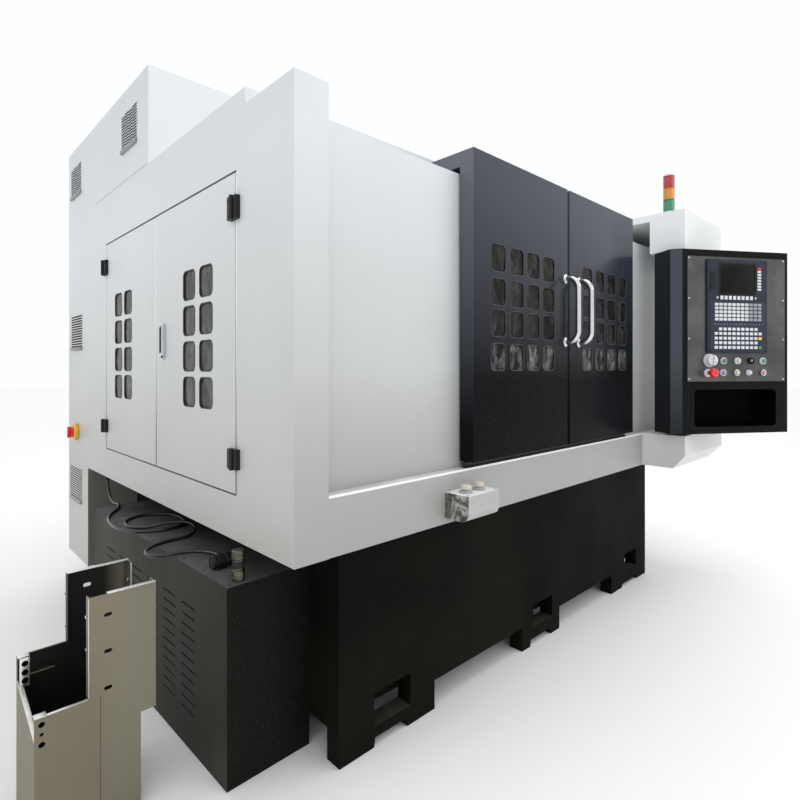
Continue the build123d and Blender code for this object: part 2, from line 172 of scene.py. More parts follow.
def paint(name, cool, warm, rough, peel, peel_scale=420.0, blotch=0.35, speck=None, speck_scale=1500.0,
          coat=0.0, metallic=0.0, height_light_and_shade=None, dust_and_top_light=None, rvar=0.07, spec=0.5, spec_grad=None, front=None,
          face_light_and_shade=()):
    """Sprayed or powder-coated sheet metal: two tones in soft clouds, orange peel, fine grain and faint wipes, with
    optional painted light and shade by height, on front faces and on chosen face directions, and up-facing patches of
    dust or painted light.
    """
    M = Mat(name)
    cloud = M.remap(M.noise(1.7, 5.0, 0.55), 0.35, 0.65)
    fac = M.mul(cloud, blotch)
    # painted light and shade by height: lower down the mix moves towards the second tone
    if height_light_and_shade:
        z0, z1, w = height_light_and_shade
        g = M.remap(M.axis(2), z0, z1)
        fac = M.mul(fac, M.mul(M.mul(1.0, g, "SUBTRACT"), w), "ADD")
    col = M.mix(fac, cool, warm)
    grain = M.remap(M.noise(peel_scale * 2.2, 3.0, 0.7), 0.3, 0.7, 0.93, 1.06)
    gn = M.node("ShaderNodeCombineColor")
    for i in range(3):
        M.link(grain, gn.inputs[i])
    col = M.mix(1.0, col, gn.outputs[0], "MULTIPLY")
    # painted shade: faces that look to the front take the given darker colour
    if front:
        fg = M.node("ShaderNodeNewGeometry")
        fs = M.node("ShaderNodeSeparateXYZ")
        M.link(fg.outputs["Normal"], fs.inputs[0])
        col = M.mix(M.remap(fs.outputs[1], -0.5, -0.95), col, front)
    for (nx, ny), tone, z0, z1, c0 in face_light_and_shade:
        # one face direction of the sheet, given in the rest frame, changes tone between two heights: painted light and
        # shade on that face
        dot = M.node("ShaderNodeVectorMath", operation="DOT_PRODUCT")
        M.link(M.tc.outputs["Normal"], dot.inputs[0])
        dot.inputs[1].default_value = (nx, ny, 0.0)
        face_light_mask = M.mul(M.remap(dot.outputs["Value"], c0, c0 + 0.02), M.remap(M.axis(2), z0, z1))
        col = M.mix(face_light_mask, col, tone)
    if speck:
        s = M.remap(M.noise(speck_scale, 2.0, 0.8), 0.60, 0.72)
        col = M.mix(s, col, speck)
    # up-facing faces take the given colour in patches: dust on the dark paints, and on the white paints a lighter top
    # as painted light
    if dust_and_top_light:
        up = M.node("ShaderNodeNewGeometry")
        sep = M.node("ShaderNodeSeparateXYZ")
        M.link(up.outputs["Normal"], sep.inputs[0])
        top = M.mul(M.remap(sep.outputs[2], 0.6, 0.98), M.remap(M.noise(9.0, 6.0, 0.65), 0.3, 0.7, 0.25, 0.9))
        col = M.mix(top, col, dust_and_top_light)
    M.put("Base Color", col)
    wipes = M.noise(2.4, 7.0, 0.6, stretch=(1.0, 1.0, 0.22))
    M.put("Roughness", M.remap(wipes, 0.3, 0.7, rough - rvar, rough + rvar))
    M.put("Metallic", metallic)
    M.put("Coat Weight", coat)
    M.put("Coat Roughness", 0.12)
    if spec_grad:
        M.put("Specular IOR Level", M.remap(M.axis(2), *spec_grad))
    else:
        M.put("Specular IOR Level", spec)
    M.bump(M.noise(peel_scale, 2.0, 0.5), peel, 0.0006)
    return M.m


# white paint: darker towards the bottom and on front faces low down, very dark on front faces below about 0.63 m, and
# darker high up on left faces, all painted shade; up-facing faces lighter as painted light
white = paint("white_paint", (0.70, 0.735, 0.755), (0.43, 0.43, 0.405), 0.38, 0.10, 380.0, 0.12,
              height_light_and_shade=(0.66, 1.78, 0.88), dust_and_top_light=(0.84, 0.84, 0.84), spec=0.35,
              face_light_and_shade=(((-1.0, 0.0), (0.60, 0.625, 0.65), 1.45, 2.25, 0.97),
                      ((0.0, -1.0), (0.345, 0.355, 0.345), 1.15, 0.62, 0.97),
                      ((0.0, -1.0), (0.165, 0.175, 0.155), 0.645, 0.625, 0.97)))
# arm white: darker towards the bottom as painted shade, up-facing faces lighter as painted light
white_arm = paint("white_arm", (0.84, 0.86, 0.865), (0.66, 0.66, 0.64), 0.38, 0.10, 380.0, 0.12,
                  height_light_and_shade=(0.66, 1.78, 0.8), dust_and_top_light=(0.86, 0.86, 0.86), spec=0.35)
# door paint: lighter blue-grey towards the top as painted sheen, and left-facing sides lighter high up as painted
# light; its specular level also rises with height
door_paint = paint("door_paint", (0.034, 0.042, 0.064), (0.0060, 0.0062, 0.0068), 0.17, 0.10, 520.0, 0.15,
                   speck=(0.056, 0.062, 0.078), speck_scale=360.0, height_light_and_shade=(1.12, 1.85, 0.95), rvar=0.04,
                   dust_and_top_light=(0.10, 0.105, 0.11), spec_grad=(1.10, 1.85, 0.02, 0.42),
                   face_light_and_shade=(((-1.0, 0.0), (0.115, 0.125, 0.150), 0.95, 1.80, 0.97),))
base_paint = paint("base_paint", (0.0085, 0.0085, 0.0060), (0.0030, 0.0030, 0.0026), 0.58, 0.5, 260.0, 0.9,
                   speck=(0.026, 0.026, 0.019), speck_scale=330.0, dust_and_top_light=(0.06, 0.058, 0.05), rvar=0.10, spec=0.03)
# tank paint: faces that look to the front are painted much darker as painted shade
tank_paint = paint("tank_paint", (0.038, 0.038, 0.030), (0.023, 0.023, 0.018), 0.50, 0.45, 330.0, 0.6,
                   speck=(0.062, 0.062, 0.052), speck_scale=400.0, dust_and_top_light=(0.125, 0.120, 0.130), rvar=0.09, spec=0.07,
                   front=(0.0055, 0.0055, 0.0048))
# pendant paint: two face directions of the case are lighter high up as painted light
pendant_paint = paint("pendant_paint", (0.0062, 0.0066, 0.0080), (0.0040, 0.0042, 0.0050), 0.42, 0.55, 300.0, 0.5,
                      speck=(0.060, 0.066, 0.082), speck_scale=240.0, rvar=0.06, spec=0.06,
                      face_light_and_shade=(((-0.855, -0.518), (0.066, 0.074, 0.090), 0.70, 1.20, 0.965),
                              ((-0.837, 0.548), (0.0165, 0.0180, 0.0195), 0.50, 1.15, 0.965)))
chamber_paint = paint("chamber_paint", (0.085, 0.088, 0.088), (0.050, 0.050, 0.047), 0.34, 0.12, 300.0, 0.9,
                      dust_and_top_light=(0.07, 0.065, 0.06), rvar=0.12)
black_metal = paint("black_metal", (0.010, 0.010, 0.011), (0.016, 0.016, 0.016), 0.45, 0.4, 700.0, 0.6,
                    speck=(0.06, 0.06, 0.065), speck_scale=1600.0, spec=0.25)
# grey rim round the door windows: a painted highlight standing in for the sheet edge catching light
rim_edge_highlight = paint("rim_edge_highlight", (0.070, 0.075, 0.082), (0.045, 0.048, 0.052), 0.35, 0.1, 900.0, 0.5, spec=0.5)
black_plastic = paint("black_plastic", (0.008, 0.008, 0.009), (0.013, 0.013, 0.014), 0.50, 0.25, 900.0, 0.5, spec=0.25)
unit_case = paint("unit_case", (0.024, 0.030, 0.047), (0.017, 0.021, 0.032), 0.48, 0.18, 1200.0, 0.5, spec=0.2)
# vent trays: white sheet drawn grey as painted shade
tray_shaded_white = paint("tray_shaded_white", (0.29, 0.295, 0.29), (0.24, 0.24, 0.235), 0.5, 0.1, 380.0, 0.6, spec=0.3)
# dark backing behind the vent louvres: painted shade where the openings are
vent_backing_shade = paint("vent_backing_shade", (0.022, 0.018, 0.017), (0.034, 0.029, 0.027), 0.7, 0.1, 500.0, 0.8, spec=0.1)
grey_rubber = paint("grey_rubber", (0.33, 0.35, 0.38), (0.24, 0.25, 0.27), 0.6, 0.2, 800.0, 0.6)
seam_dark = paint("seam_dark", (0.05, 0.05, 0.05), (0.10, 0.10, 0.10), 0.7, 0.1, 500.0, 0.8)


def metal(name, a, b, rough, stretch=(1, 1, 1), brush=60.0, bump=0.05, cloud=3.0, stain=None, metallic=1.0,
          contrast=0.35):
    """Bare or plated metal with a brushed or ground direction, cloudy tone and a little stain."""
    M = Mat(name)
    line = M.noise(brush, 5.0, 0.65, stretch=stretch)
    fac = M.mul(M.remap(M.noise(cloud, 5.0, 0.6), 0.35, 0.65), 1.0 - contrast)
    fac = M.mul(fac, M.mul(M.remap(line, 0.35, 0.65), contrast), "ADD")
    col = M.mix(fac, a, b)
    if stain:
        s = M.remap(M.noise(14.0, 8.0, 0.7, distortion=0.6), 0.56, 0.72)
        col = M.mix(M.mul(s, 0.65), col, stain)
    M.put("Base Color", col)
    M.put("Metallic", metallic)
    M.put("Roughness", M.remap(line, 0.3, 0.7, rough * 0.75, rough * 1.25))
    M.bump(line, bump, 0.0005)
    return M.m


chrome = metal("chrome", (0.74, 0.74, 0.76), (0.60, 0.61, 0.64), 0.055, (1, 1, 1), 30.0, 0.01, 6.0)
brushed_plate = metal("brushed_plate", (0.060, 0.062, 0.064), (0.140, 0.142, 0.140), 0.42, (70.0, 70.0, 3.0), 14.0,
                      0.10, 4.5, stain=(0.052, 0.052, 0.052), metallic=0.75, contrast=0.35)
bed_steel = metal("bed_steel", (0.36, 0.36, 0.37), (0.22, 0.22, 0.23), 0.28, (30.0, 1.0, 1.0), 14.0, 0.08, 3.0,
                  stain=(0.12, 0.10, 0.08))
pipe_metal = metal("pipe_metal", (0.155, 0.150, 0.118), (0.085, 0.080, 0.058), 0.36, (1, 1, 20.0), 20.0, 0.08, 12.0,
                   stain=(0.06, 0.05, 0.03))
screw_metal = metal("screw_metal", (0.62, 0.62, 0.62), (0.46, 0.46, 0.46), 0.22, (1, 1, 1), 90.0, 0.05, 20.0)


def galvanised(name="galvanised", a=(0.250, 0.222, 0.155), b=(0.175, 0.157, 0.110), shaded_inside=False):
    """Zinc sheet gone dull: fine grain, soft clouds, a few scratches, and painted shade inside the chute with a painted
    sheen on the far plate.
    """
    M = Mat(name)
    grain = M.remap(M.noise(420.0, 3.0, 0.7), 0.3, 0.7, 0.0, 0.5)
    cloud = M.remap(M.noise(2.6, 5.0, 0.55), 0.35, 0.65, 0.0, 0.5)
    col = M.mix(M.mul(grain, cloud, "ADD"), a, b)
    # greyer towards the tall right part
    grey = M.remap(M.axis(0), -1.47, -1.36)
    col = M.mix(M.mul(grey, 0.6), col, (0.215, 0.208, 0.170))
    metallic = 0.55
    if shaded_inside:
        # painted shade inside the chute, eased by a painted sheen towards the right and top of the far plate
        inside = M.mul(M.remap(M.axis(1), -0.480, -0.465), M.remap(M.axis(1), -0.2862, -0.2857, 1.0, 0.0))
        inside = M.mul(inside, M.mul(M.remap(M.axis(0), -1.5816, -1.5811), M.remap(M.axis(0), -1.3138, -1.3128, 1.0, 0.0)))
        sheen = M.mul(M.remap(M.axis(0), -1.375, -1.325), M.remap(M.axis(2), 0.38, 0.50))
        dark = M.mul(inside, M.remap(sheen, 0.0, 1.0, 0.96, 0.28))
        col = M.mix(dark, col, (0.012, 0.012, 0.0115))
    M.put("Base Color", col)
    M.put("Metallic", metallic)
    M.put("Specular IOR Level", 0.3)
    scr = M.noise(9.0, 8.0, 0.7, stretch=(6.0, 6.0, 60.0))
    M.put("Roughness", M.remap(scr, 0.3, 0.7, 0.42, 0.58))
    M.bump(M.mul(scr, M.noise(160.0, 3.0, 0.5), "ADD"), 0.10, 0.0006)
    return M.m


galv = galvanised()
galv_chute = galvanised("galvanised_chute", shaded_inside=True)


def plastic(name, a, b, rough=0.3, coat=0.2, bump=0.08, scale=500.0, emit=None, spec=0.5):
    M = Mat(name)
    n = M.noise(scale * 0.02, 5.0, 0.6)
    M.put("Base Color", M.mix(M.remap(n, 0.35, 0.65), a, b))
    M.put("Roughness", M.remap(M.noise(scale * 0.06, 5.0, 0.6), 0.3, 0.7, rough * 0.8, rough * 1.25))
    M.put("Coat Weight", coat)
    M.put("Specular IOR Level", spec)
    M.bump(M.noise(scale, 2.0, 0.5), bump, 0.0004)
    if emit:
        M.put("Emission Color", emit[0])
        M.put("Emission Strength", emit[1])
    return M.m


red_plastic = plastic("red_plastic", (0.78, 0.022, 0.020), (0.62, 0.014, 0.012), 0.26)
yellow_plastic = plastic("yellow_plastic", (0.82, 0.50, 0.03), (0.66, 0.36, 0.02), 0.34)
cream_plastic = plastic("cream_plastic", (0.66, 0.62, 0.52), (0.52, 0.47, 0.37), 0.40)
pale_plastic = plastic("pale_plastic", (0.74, 0.75, 0.78), (0.58, 0.59, 0.62), 0.22, 0.4)
green_plastic = plastic("green_plastic", (0.14, 0.34, 0.27), (0.09, 0.25, 0.19), 0.3)
purple_plastic = plastic("purple_plastic", (0.42, 0.38, 0.60), (0.30, 0.27, 0.46), 0.3)
pink_plastic = plastic("pink_plastic", (0.62, 0.38, 0.42), (0.50, 0.28, 0.32), 0.3)
key_white = plastic("key_white", (0.72, 0.74, 0.76), (0.60, 0.62, 0.65), 0.38, 0.1)
key_grey = plastic("key_grey", (0.36, 0.38, 0.41), (0.28, 0.30, 0.33), 0.42, 0.1)
key_yellow = plastic("key_yellow", (0.85, 0.66, 0.04), (0.75, 0.55, 0.03), 0.38, 0.1)
key_green = plastic("key_green", (0.06, 0.34, 0.13), (0.04, 0.25, 0.09), 0.38, 0.1)
tier_red = plastic("tier_red", (0.46, 0.022, 0.025), (0.34, 0.014, 0.015), 0.16, 0.6)
tier_amber = plastic("tier_amber", (0.66, 0.27, 0.02), (0.52, 0.19, 0.01), 0.16, 0.6)
tier_green = plastic("tier_green", (0.035, 0.26, 0.13), (0.02, 0.17, 0.08), 0.16, 0.6)
screen_mat = plastic("screen", (0.003, 0.0035, 0.004), (0.005, 0.006, 0.007), 0.12, 0.0, 0.01, spec=0.12)
rubber = plastic("rubber", (0.012, 0.012, 0.012), (0.022, 0.021, 0.020), 0.55, 0.0, 0.2, 300.0)
cable_mat = plastic("cable_sheath", (0.015, 0.0155, 0.018), (0.009, 0.0095, 0.011), 0.34, 0.2, 0.25, 500.0)
niche_mat = plastic("niche_black", (0.0012, 0.0012, 0.0014), (0.0022, 0.0022, 0.0024), 0.5, 0.0, 0.1, spec=0.02)


# near-white metal: painted highlight on folded edges and tabs of the chute where they catch the light, and the pale
# bracket plate
pale_metal_and_highlight = metal("pale_fold_and_highlight", (0.90, 0.90, 0.88), (0.70, 0.69, 0.66), 0.30, (1, 1, 1), 60.0, 0.04, 8.0, metallic=0.85)
led_mat = plastic("led_dark", (0.10, 0.025, 0.02), (0.06, 0.015, 0.012), 0.2)
unit_field = plastic("unit_field", (0.034, 0.043, 0.066), (0.027, 0.034, 0.052), 0.5, 0.0, spec=0.2)
seam_pale = plastic("seam_pale", (0.36, 0.37, 0.37), (0.30, 0.30, 0.30), 0.6, 0.0)
# light strips on door edges: painted highlight fading into painted shade lower down
edge_highlight_fade = paint("edge_highlight_fade", (0.95, 0.95, 0.95), (0.24, 0.24, 0.23), 0.5, 0.02, 380.0, 0.0, height_light_and_shade=(0.85, 1.35, 1.0), spec=0.3)
# near-white strip on the apron's folded top edge: painted highlight
apron_edge_highlight = plastic("apron_edge_highlight", (0.93, 0.93, 0.93), (0.88, 0.88, 0.87), 0.5, 0.0)


def scuffed_white():
    """The push-button box: white paint rubbed and spotted down to a dark primer on its outer faces; its sides are
    painted mid grey as shade and its top light as painted light.
    """
    M = Mat("scuffed_white")
    base = M.mix(M.remap(M.noise(4.0, 5.0, 0.6), 0.4, 0.6), (0.47, 0.48, 0.475), (0.42, 0.425, 0.41))
    spots = M.remap(M.noise(13.0, 9.0, 0.68, distortion=2.2), 0.42, 0.50)
    g = M.node("ShaderNodeNewGeometry")
    sep = M.node("ShaderNodeSeparateXYZ")
    M.link(g.outputs["Normal"], sep.inputs[0])
    side = M.remap(M.mul(sep.outputs[0], -1.0), 0.6, 0.95)
    # painted light: up-facing faces lighter than the painted-shade grey of the sides
    col = M.mix(M.remap(sep.outputs[2], 0.6, 0.95), base, (0.84, 0.84, 0.85))
    col = M.mix(M.mul(side, spots), col, M.mix(M.remap(M.noise(60.0, 3.0), 0.4, 0.6), (0.060, 0.056, 0.042), (0.15, 0.14, 0.11)))
    M.put("Base Color", col)
    M.put("Roughness", M.remap(spots, 0.0, 1.0, 0.36, 0.55))
    M.bump(M.noise(380.0, 2.0, 0.5), 0.1, 0.0006)
    return M.m


scuffed = scuffed_white()


def window_glass(name, lo, hi, tone, low_tone, spec, coat):
    """Tinted sheet: mostly clear, with pale vertical streaks painted as reflections of the room, and lighter in the
    lowest row.
    """
    M = Mat(name)
    # painted reflection: pale vertical streaks on the glass
    pale_streaks = M.noise(24.0, 8.0, 0.72, stretch=(1.0, 1.0, 0.4), distortion=0.8)
    marks = M.remap(pale_streaks, lo, hi)
    streak_tone = M.mix(M.remap(M.axis(2), 1.26, 1.215), tone, low_tone)
    M.put("Base Color", M.mix(marks, (0.012, 0.011, 0.011), streak_tone))
    M.put("Roughness", M.remap(marks, 0.0, 1.0, 0.08, 0.42))
    M.put("Alpha", M.remap(marks, 0.0, 1.0, 0.62, 0.88))
    M.put("Specular IOR Level", spec)
    M.put("Coat Weight", coat)
    M.bump(M.noise(40.0, 3.0, 0.5), 0.02, 0.0005)
    return M.m


glass = window_glass("window_glass", 0.44, 0.66, (0.060, 0.056, 0.054), (0.26, 0.27, 0.27), 0.10, 0.0)
side_glass = window_glass("side_window_glass", 0.40, 0.72, (0.17, 0.165, 0.175), (0.17, 0.165, 0.175), 0.30, 0.1)


# ---------------------------------------------------------------------------
# mesh building
# ---------------------------------------------------------------------------
class Piece:
    """One joined mesh that rides on a body. Everything is given in working millimetres."""

    def __init__(self, name, body, slot, mats, M=None):
        self.name, self.body, self.slot, self.mats = name, body, slot, mats
        self.M = M if M is not None else TO_ROW
        self.bm = bmesh.new()

    def _take(self, t, mat, L=None):
        if L is not None:
            bmesh.ops.transform(t, matrix=L, verts=t.verts)
        for f in t.faces:
            f.material_index = mat
        me = bpy.data.meshes.new("t")
        t.to_mesh(me)
        t.free()
        self.bm.from_mesh(me)
        bpy.data.meshes.remove(me)

    def box(self, x0, x1, y0, y1, z0, z1, mat=0, bevel=0.8, seg=2, L=None):
        t = bmesh.new()
        bmesh.ops.create_cube(t, size=1.0)
        for v in t.verts:
            v.co = Vector(((x0 + x1) / 2 + v.co.x * (x1 - x0), (y0 + y1) / 2 + v.co.y * (y1 - y0),
                           (z0 + z1) / 2 + v.co.z * (z1 - z0)))
        b = min(bevel, 0.45 * min(abs(x1 - x0), abs(y1 - y0), abs(z1 - z0)))
        if b > 0:
            bmesh.ops.bevel(t, geom=t.edges[:], offset=b, segments=seg, affect="EDGES", profile=0.5)
        self._take(t, mat, L)

    def lathe(self, prof, origin, axis=(0, 0, 1), mat=0, seg=32, L=None, ribs=0, rib_depth=0.0, bands=None):
        """prof is a list of (radius, height) along axis; bands gives a material for each span."""
        t = bmesh.new()
        az = Vector(axis).normalized()
        ax = az.orthogonal().normalized()
        ay = az.cross(ax)
        rings = []
        for r, h in prof:
            ring = []
            if r < 1e-6:
                ring = [t.verts.new(Vector(origin) + az * h)]
            else:
                for k in range(seg):
                    a = 2 * math.pi * k / seg
                    rr = r * (1 - rib_depth * (0.5 + 0.5 * math.cos(ribs * a))) if ribs else r
                    ring.append(t.verts.new(Vector(origin) + az * h + (ax * math.cos(a) + ay * math.sin(a)) * rr))
            rings.append(ring)
        spans = []
        for i in range(len(rings) - 1):
            a, b = rings[i], rings[i + 1]
            made = []
            for k in range(seg):
                k2 = (k + 1) % seg
                if len(a) == 1 and len(b) == 1:
                    break
                if len(a) == 1:
                    made.append(t.faces.new((a[0], b[k2], b[k])))
                elif len(b) == 1:
                    made.append(t.faces.new((a[k], a[k2], b[0])))
                else:
                    made.append(t.faces.new((a[k], a[k2], b[k2], b[k])))
            spans.append(made)
        if len(rings[0]) > 1:
            t.faces.new(list(reversed(rings[0])))
        if len(rings[-1]) > 1:
            t.faces.new(rings[-1])
        bmesh.ops.recalc_face_normals(t, faces=t.faces)
        for f in t.faces:
            f.material_index = mat
        if bands:
            for i, m in enumerate(bands):
                for f in spans[i]:
                    f.material_index = m
        if L is not None:
            bmesh.ops.transform(t, matrix=L, verts=t.verts)
        me = bpy.data.meshes.new("t")
        t.to_mesh(me)
        t.free()
        self.bm.from_mesh(me)
        bpy.data.meshes.remove(me)

    def prism(self, pts, a, b, plane="xz", mat=0, bevel=0.0, holes=None):
        """A closed outline drawn out between a and b along the axis the plane leaves. xz: along y, yz: along x, xy: along z."""
        t = bmesh.new()

        def v3(p, h):
            if plane == "xz":
                return Vector((p[0], h, p[1]))
            if plane == "yz":
                return Vector((h, p[0], p[1]))
            return Vector((p[0], p[1], h))
        va = [t.verts.new(v3(p, a)) for p in pts]
        vb = [t.verts.new(v3(p, b)) for p in pts]
        n = len(pts)
        fa = t.faces.new(va)
        fb = t.faces.new(list(reversed(vb)))
        for i in range(n):
            t.faces.new((va[i], vb[i], vb[(i + 1) % n], va[(i + 1) % n]))
        bmesh.ops.recalc_face_normals(t, faces=t.faces)
        if bevel > 0:
            es = [e for e in t.edges if any(f in (fa, fb) for f in e.link_faces)]
            bmesh.ops.bevel(t, geom=es, offset=bevel, segments=2, affect="EDGES", profile=0.5)
        self._take(t, mat)

    def rrect(self, cx, cz, w, h, r, y0, y1, mat=0, bevel=0.0, plane="xz", seg=5):
        self.prism(rr_pts(cx, cz, w, h, r, seg), y0, y1, plane, mat, bevel)

    def ring(self, cx, cz, w, h, r, wall, y0, y1, mat=0, plane="xz", seg=5):
        """A rounded rectangular ring: a gasket, rim or frame."""
        t = bmesh.new()
        o = rr_pts(cx, cz, w, h, r, seg)
        i = rr_pts(cx, cz, w - 2 * wall, h - 2 * wall, max(r - wall, 0.5), seg)

        def v3(p, hh):
            return Vector((p[0], hh, p[1])) if plane == "xz" else Vector((hh, p[0], p[1]))
        A = [t.verts.new(v3(p, y0)) for p in o]
        B = [t.verts.new(v3(p, y0)) for p in i]
        C = [t.verts.new(v3(p, y1)) for p in o]
        D = [t.verts.new(v3(p, y1)) for p in i]
        n = len(o)
        for k in range(n):
            k2 = (k + 1) % n
            t.faces.new((A[k], A[k2], B[k2], B[k]))
            t.faces.new((C[k], D[k], D[k2], C[k2]))
            t.faces.new((A[k], C[k], C[k2], A[k2]))
            t.faces.new((B[k], B[k2], D[k2], D[k]))
        bmesh.ops.recalc_face_normals(t, faces=t.faces)
        self._take(t, mat)

    def tube(self, pts, r, mat=0, seg=12, closed=False, caps=True):
        pts = [Vector(p) for p in pts]
        n = len(pts)
        tang = []
        for i in range(n):
            if closed:
                d = pts[(i + 1) % n] - pts[i - 1]
            else:
                d = pts[min(i + 1, n - 1)] - pts[max(i - 1, 0)]
            tang.append(d.normalized())
        u = tang[0].orthogonal().normalized()
        t = bmesh.new()
        rings = []
        for i in range(n):
            u = (u - tang[i] * u.dot(tang[i])).normalized()
            w = tang[i].cross(u)
            rr = r[i] if isinstance(r, (list, tuple)) else r
            rings.append([t.verts.new(pts[i] + (u * math.cos(2 * math.pi * k / seg) + w * math.sin(2 * math.pi * k / seg)) * rr)
                          for k in range(seg)])
        for i in range(n if closed else n - 1):
            a, b = rings[i], rings[(i + 1) % n]
            for k in range(seg):
                t.faces.new((a[k], a[(k + 1) % seg], b[(k + 1) % seg], b[k]))
        if caps and not closed:
            t.faces.new(list(reversed(rings[0])))
            t.faces.new(rings[-1])
        bmesh.ops.recalc_face_normals(t, faces=t.faces)
        self._take(t, mat)

    def screw(self, origin, axis, r=4.0, h=2.2, mat=0, sides=6):
        """A socket cap screw with a hollow in its head."""
        self.lathe([(r * 1.12, 0), (r * 1.12, 0.5), (r, 0.7), (r, h - 0.5), (r - 0.5, h), (r * 0.55, h), (r * 0.5, h * 0.4), (0, h * 0.4)],
                   origin, axis, mat, 14)

    def finish(self, angle=35.0, replaces=()):
        me = bpy.data.meshes.new(self.name)
        bmesh.ops.remove_doubles(self.bm, verts=self.bm.verts, dist=1e-5)
        self.bm.to_mesh(me)
        self.bm.free()
        me.transform(self.M)
        for m in self.mats:
            me.materials.append(m)
        me.update()
        for p in me.polygons:
            p.use_smooth = True
        me.set_sharp_from_angle(angle=math.radians(angle))
        ob = bpy.data.objects.new(self.name, me)
        bpy.context.scene.collection.objects.link(ob)
        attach(ob, self.body)
        if replaces:
            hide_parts(*replaces)
        return ob


def rr_pts(cx, cz, w, h, r, seg=5):
    r = min(r, w / 2 - 0.01, h / 2 - 0.01)
    pts = []
    for sx, sz, a0 in ((1, -1, -90), (1, 1, 0), (-1, 1, 90), (-1, -1, 180)):
        ccx, ccz = cx + sx * (w / 2 - r), cz + sz * (h / 2 - r)
        for k in range(seg + 1):
            a = math.radians(a0 + 90.0 * k / seg)
            pts.append((ccx + r * math.cos(a), ccz + r * math.sin(a)))
    return pts


# ---------------------------------------------------------------------------
# materials on the carried-over nodes, and softened sheet metal edges
# ---------------------------------------------------------------------------
def dress(names, mat, bevel=1.6, seg=2):
    for n in names:
        o = NODE[n]
        if not o.material_slots:
            o.data.materials.append(mat)
        for s in o.material_slots:
            s.link = "OBJECT"
            s.material = mat
        if bevel:
            b = o.modifiers.new("edge", "BEVEL")
            b.width = bevel / 1000.0
            b.segments = seg
            b.limit_method = "ANGLE"
            b.angle_limit = math.radians(50)
            b.harden_normals = False


WHITE = ["corner_column", "left_wall_sill", "left_wall_header", "left_wall_rear", "front_apron", "front_panels",
         "roof", "right_wall", "rear_wall", "electrical_cabinet", "top_box", "top_box_cover", "lower_bracket",
         "side_door_front", "side_door_rear"]
FLUSH = ["corner_column", "left_wall_sill", "left_wall_header", "left_wall_rear"]
ARM = ["top_box", "top_box_cover", "lower_bracket"]
dress([n for n in WHITE if n not in FLUSH + ARM], white, 1.5)
dress(FLUSH, white, 0.35)
dress(ARM, white_arm, 1.5)
dress(["door_left_panel", "door_left_roof", "door_right_panel", "door_right_roof"], door_paint, 1.4)
dress(["base_casting", "base_walls", "base_feet"], base_paint, 2.5)
dress(["coolant_tank"], tank_paint, 1.2)
dress(["pendant_case"], pendant_paint, 1.6)
dress(["pendant_plate"], brushed_plate, 0.8)
dress(["button_box"], scuffed, 1.8)
dress(["door_left_glass", "door_right_glass"], glass, 0)
dress(["side_door_front_glass", "side_door_rear_glass"], side_glass, 0)
dress(["door_left_handle", "door_right_handle"], chrome, 0)
dress(["side_door_front_hinges", "side_door_rear_hinges", "side_hinge_knuckles"], black_metal, 1.0)
dress(["chamber_walls", "chamber_floor", "headstock"], chamber_paint, 2.0)
dress(["slant_bed"], bed_steel, 2.0)
dress(["chute_sides", "chute_flanges", "chute_bin"], galv_chute, 0)
dress(["isolator_plate"], yellow_plastic, 1.0)
dress(["chuck"], chrome, 1.5)

# ---------------------------------------------------------------------------
# louvred vents on the left side
# ---------------------------------------------------------------------------
p = Piece("vents", "frame", "white_paint", [white, vent_backing_shade, tray_shaded_white])


def vent(y0, y1, z0, z1, rows, cols=1, tray=True, lean=3.6, share=0.40):
    # dark backing plate behind the louvres: painted shade
    p.box(-1.0, 0.5, y0, y1, z0, z1, 1, 0.3)
    pitch = (z1 - z0) / rows
    w = (y1 - y0) / cols
    for c in range(cols):
        a = y0 + w * c + (1.5 if cols > 1 else 0.5)
        b = y0 + w * (c + 1) - (1.5 if cols > 1 else 0.5)
        for i in range(rows):
            zt = z1 - i * pitch
            if c % 2 and i:
                zt += pitch * 0.5
            zb = zt - pitch * share
            # a small hood that leans out at its lower edge
            p.prism([(-0.6, zt), (-1.2, zt), (-lean, zb + 0.8), (-lean, zb), (-0.6, zb)], a, b, "xz", 0)
    p.box(-2.0, 0.3, y0 - 2.5, y0, z0 - 2, z1 + 2, 0, 0.5)
    p.box(-2.0, 0.3, y1, y1 + 2.5, z0 - 2, z1 + 2, 0, 0.5)
    p.box(-2.0, 0.3, y0, y1, z1, z1 + 2.5, 0, 0.5)
    if tray:
        # the tray is white sheet in painted shade
        p.box(-9, 0.2, y0, y1, z0 - 16, z0 - 1, 2, 1.2)
        p.box(-8.6, -0.2, y0 + 1, y1 - 1, z0 - 1.4, z0 - 0.6, 0, 0.2)
    else:
        p.box(-2.0, 0.3, y0, y1, z0 - 2.5, z0, 0, 0.5)


vent(1158, 1352, 2078, 2228, 13, 4, share=0.47)
vent(2022, 2226, 2078, 2228, 13, 4, share=0.47)
vent(2003, 2223, 1259, 1431, 13, 1, lean=1.5, share=0.38)
vent(2018, 2245, 456, 622, 14, 1, lean=1.6, share=0.50)
p.finish()

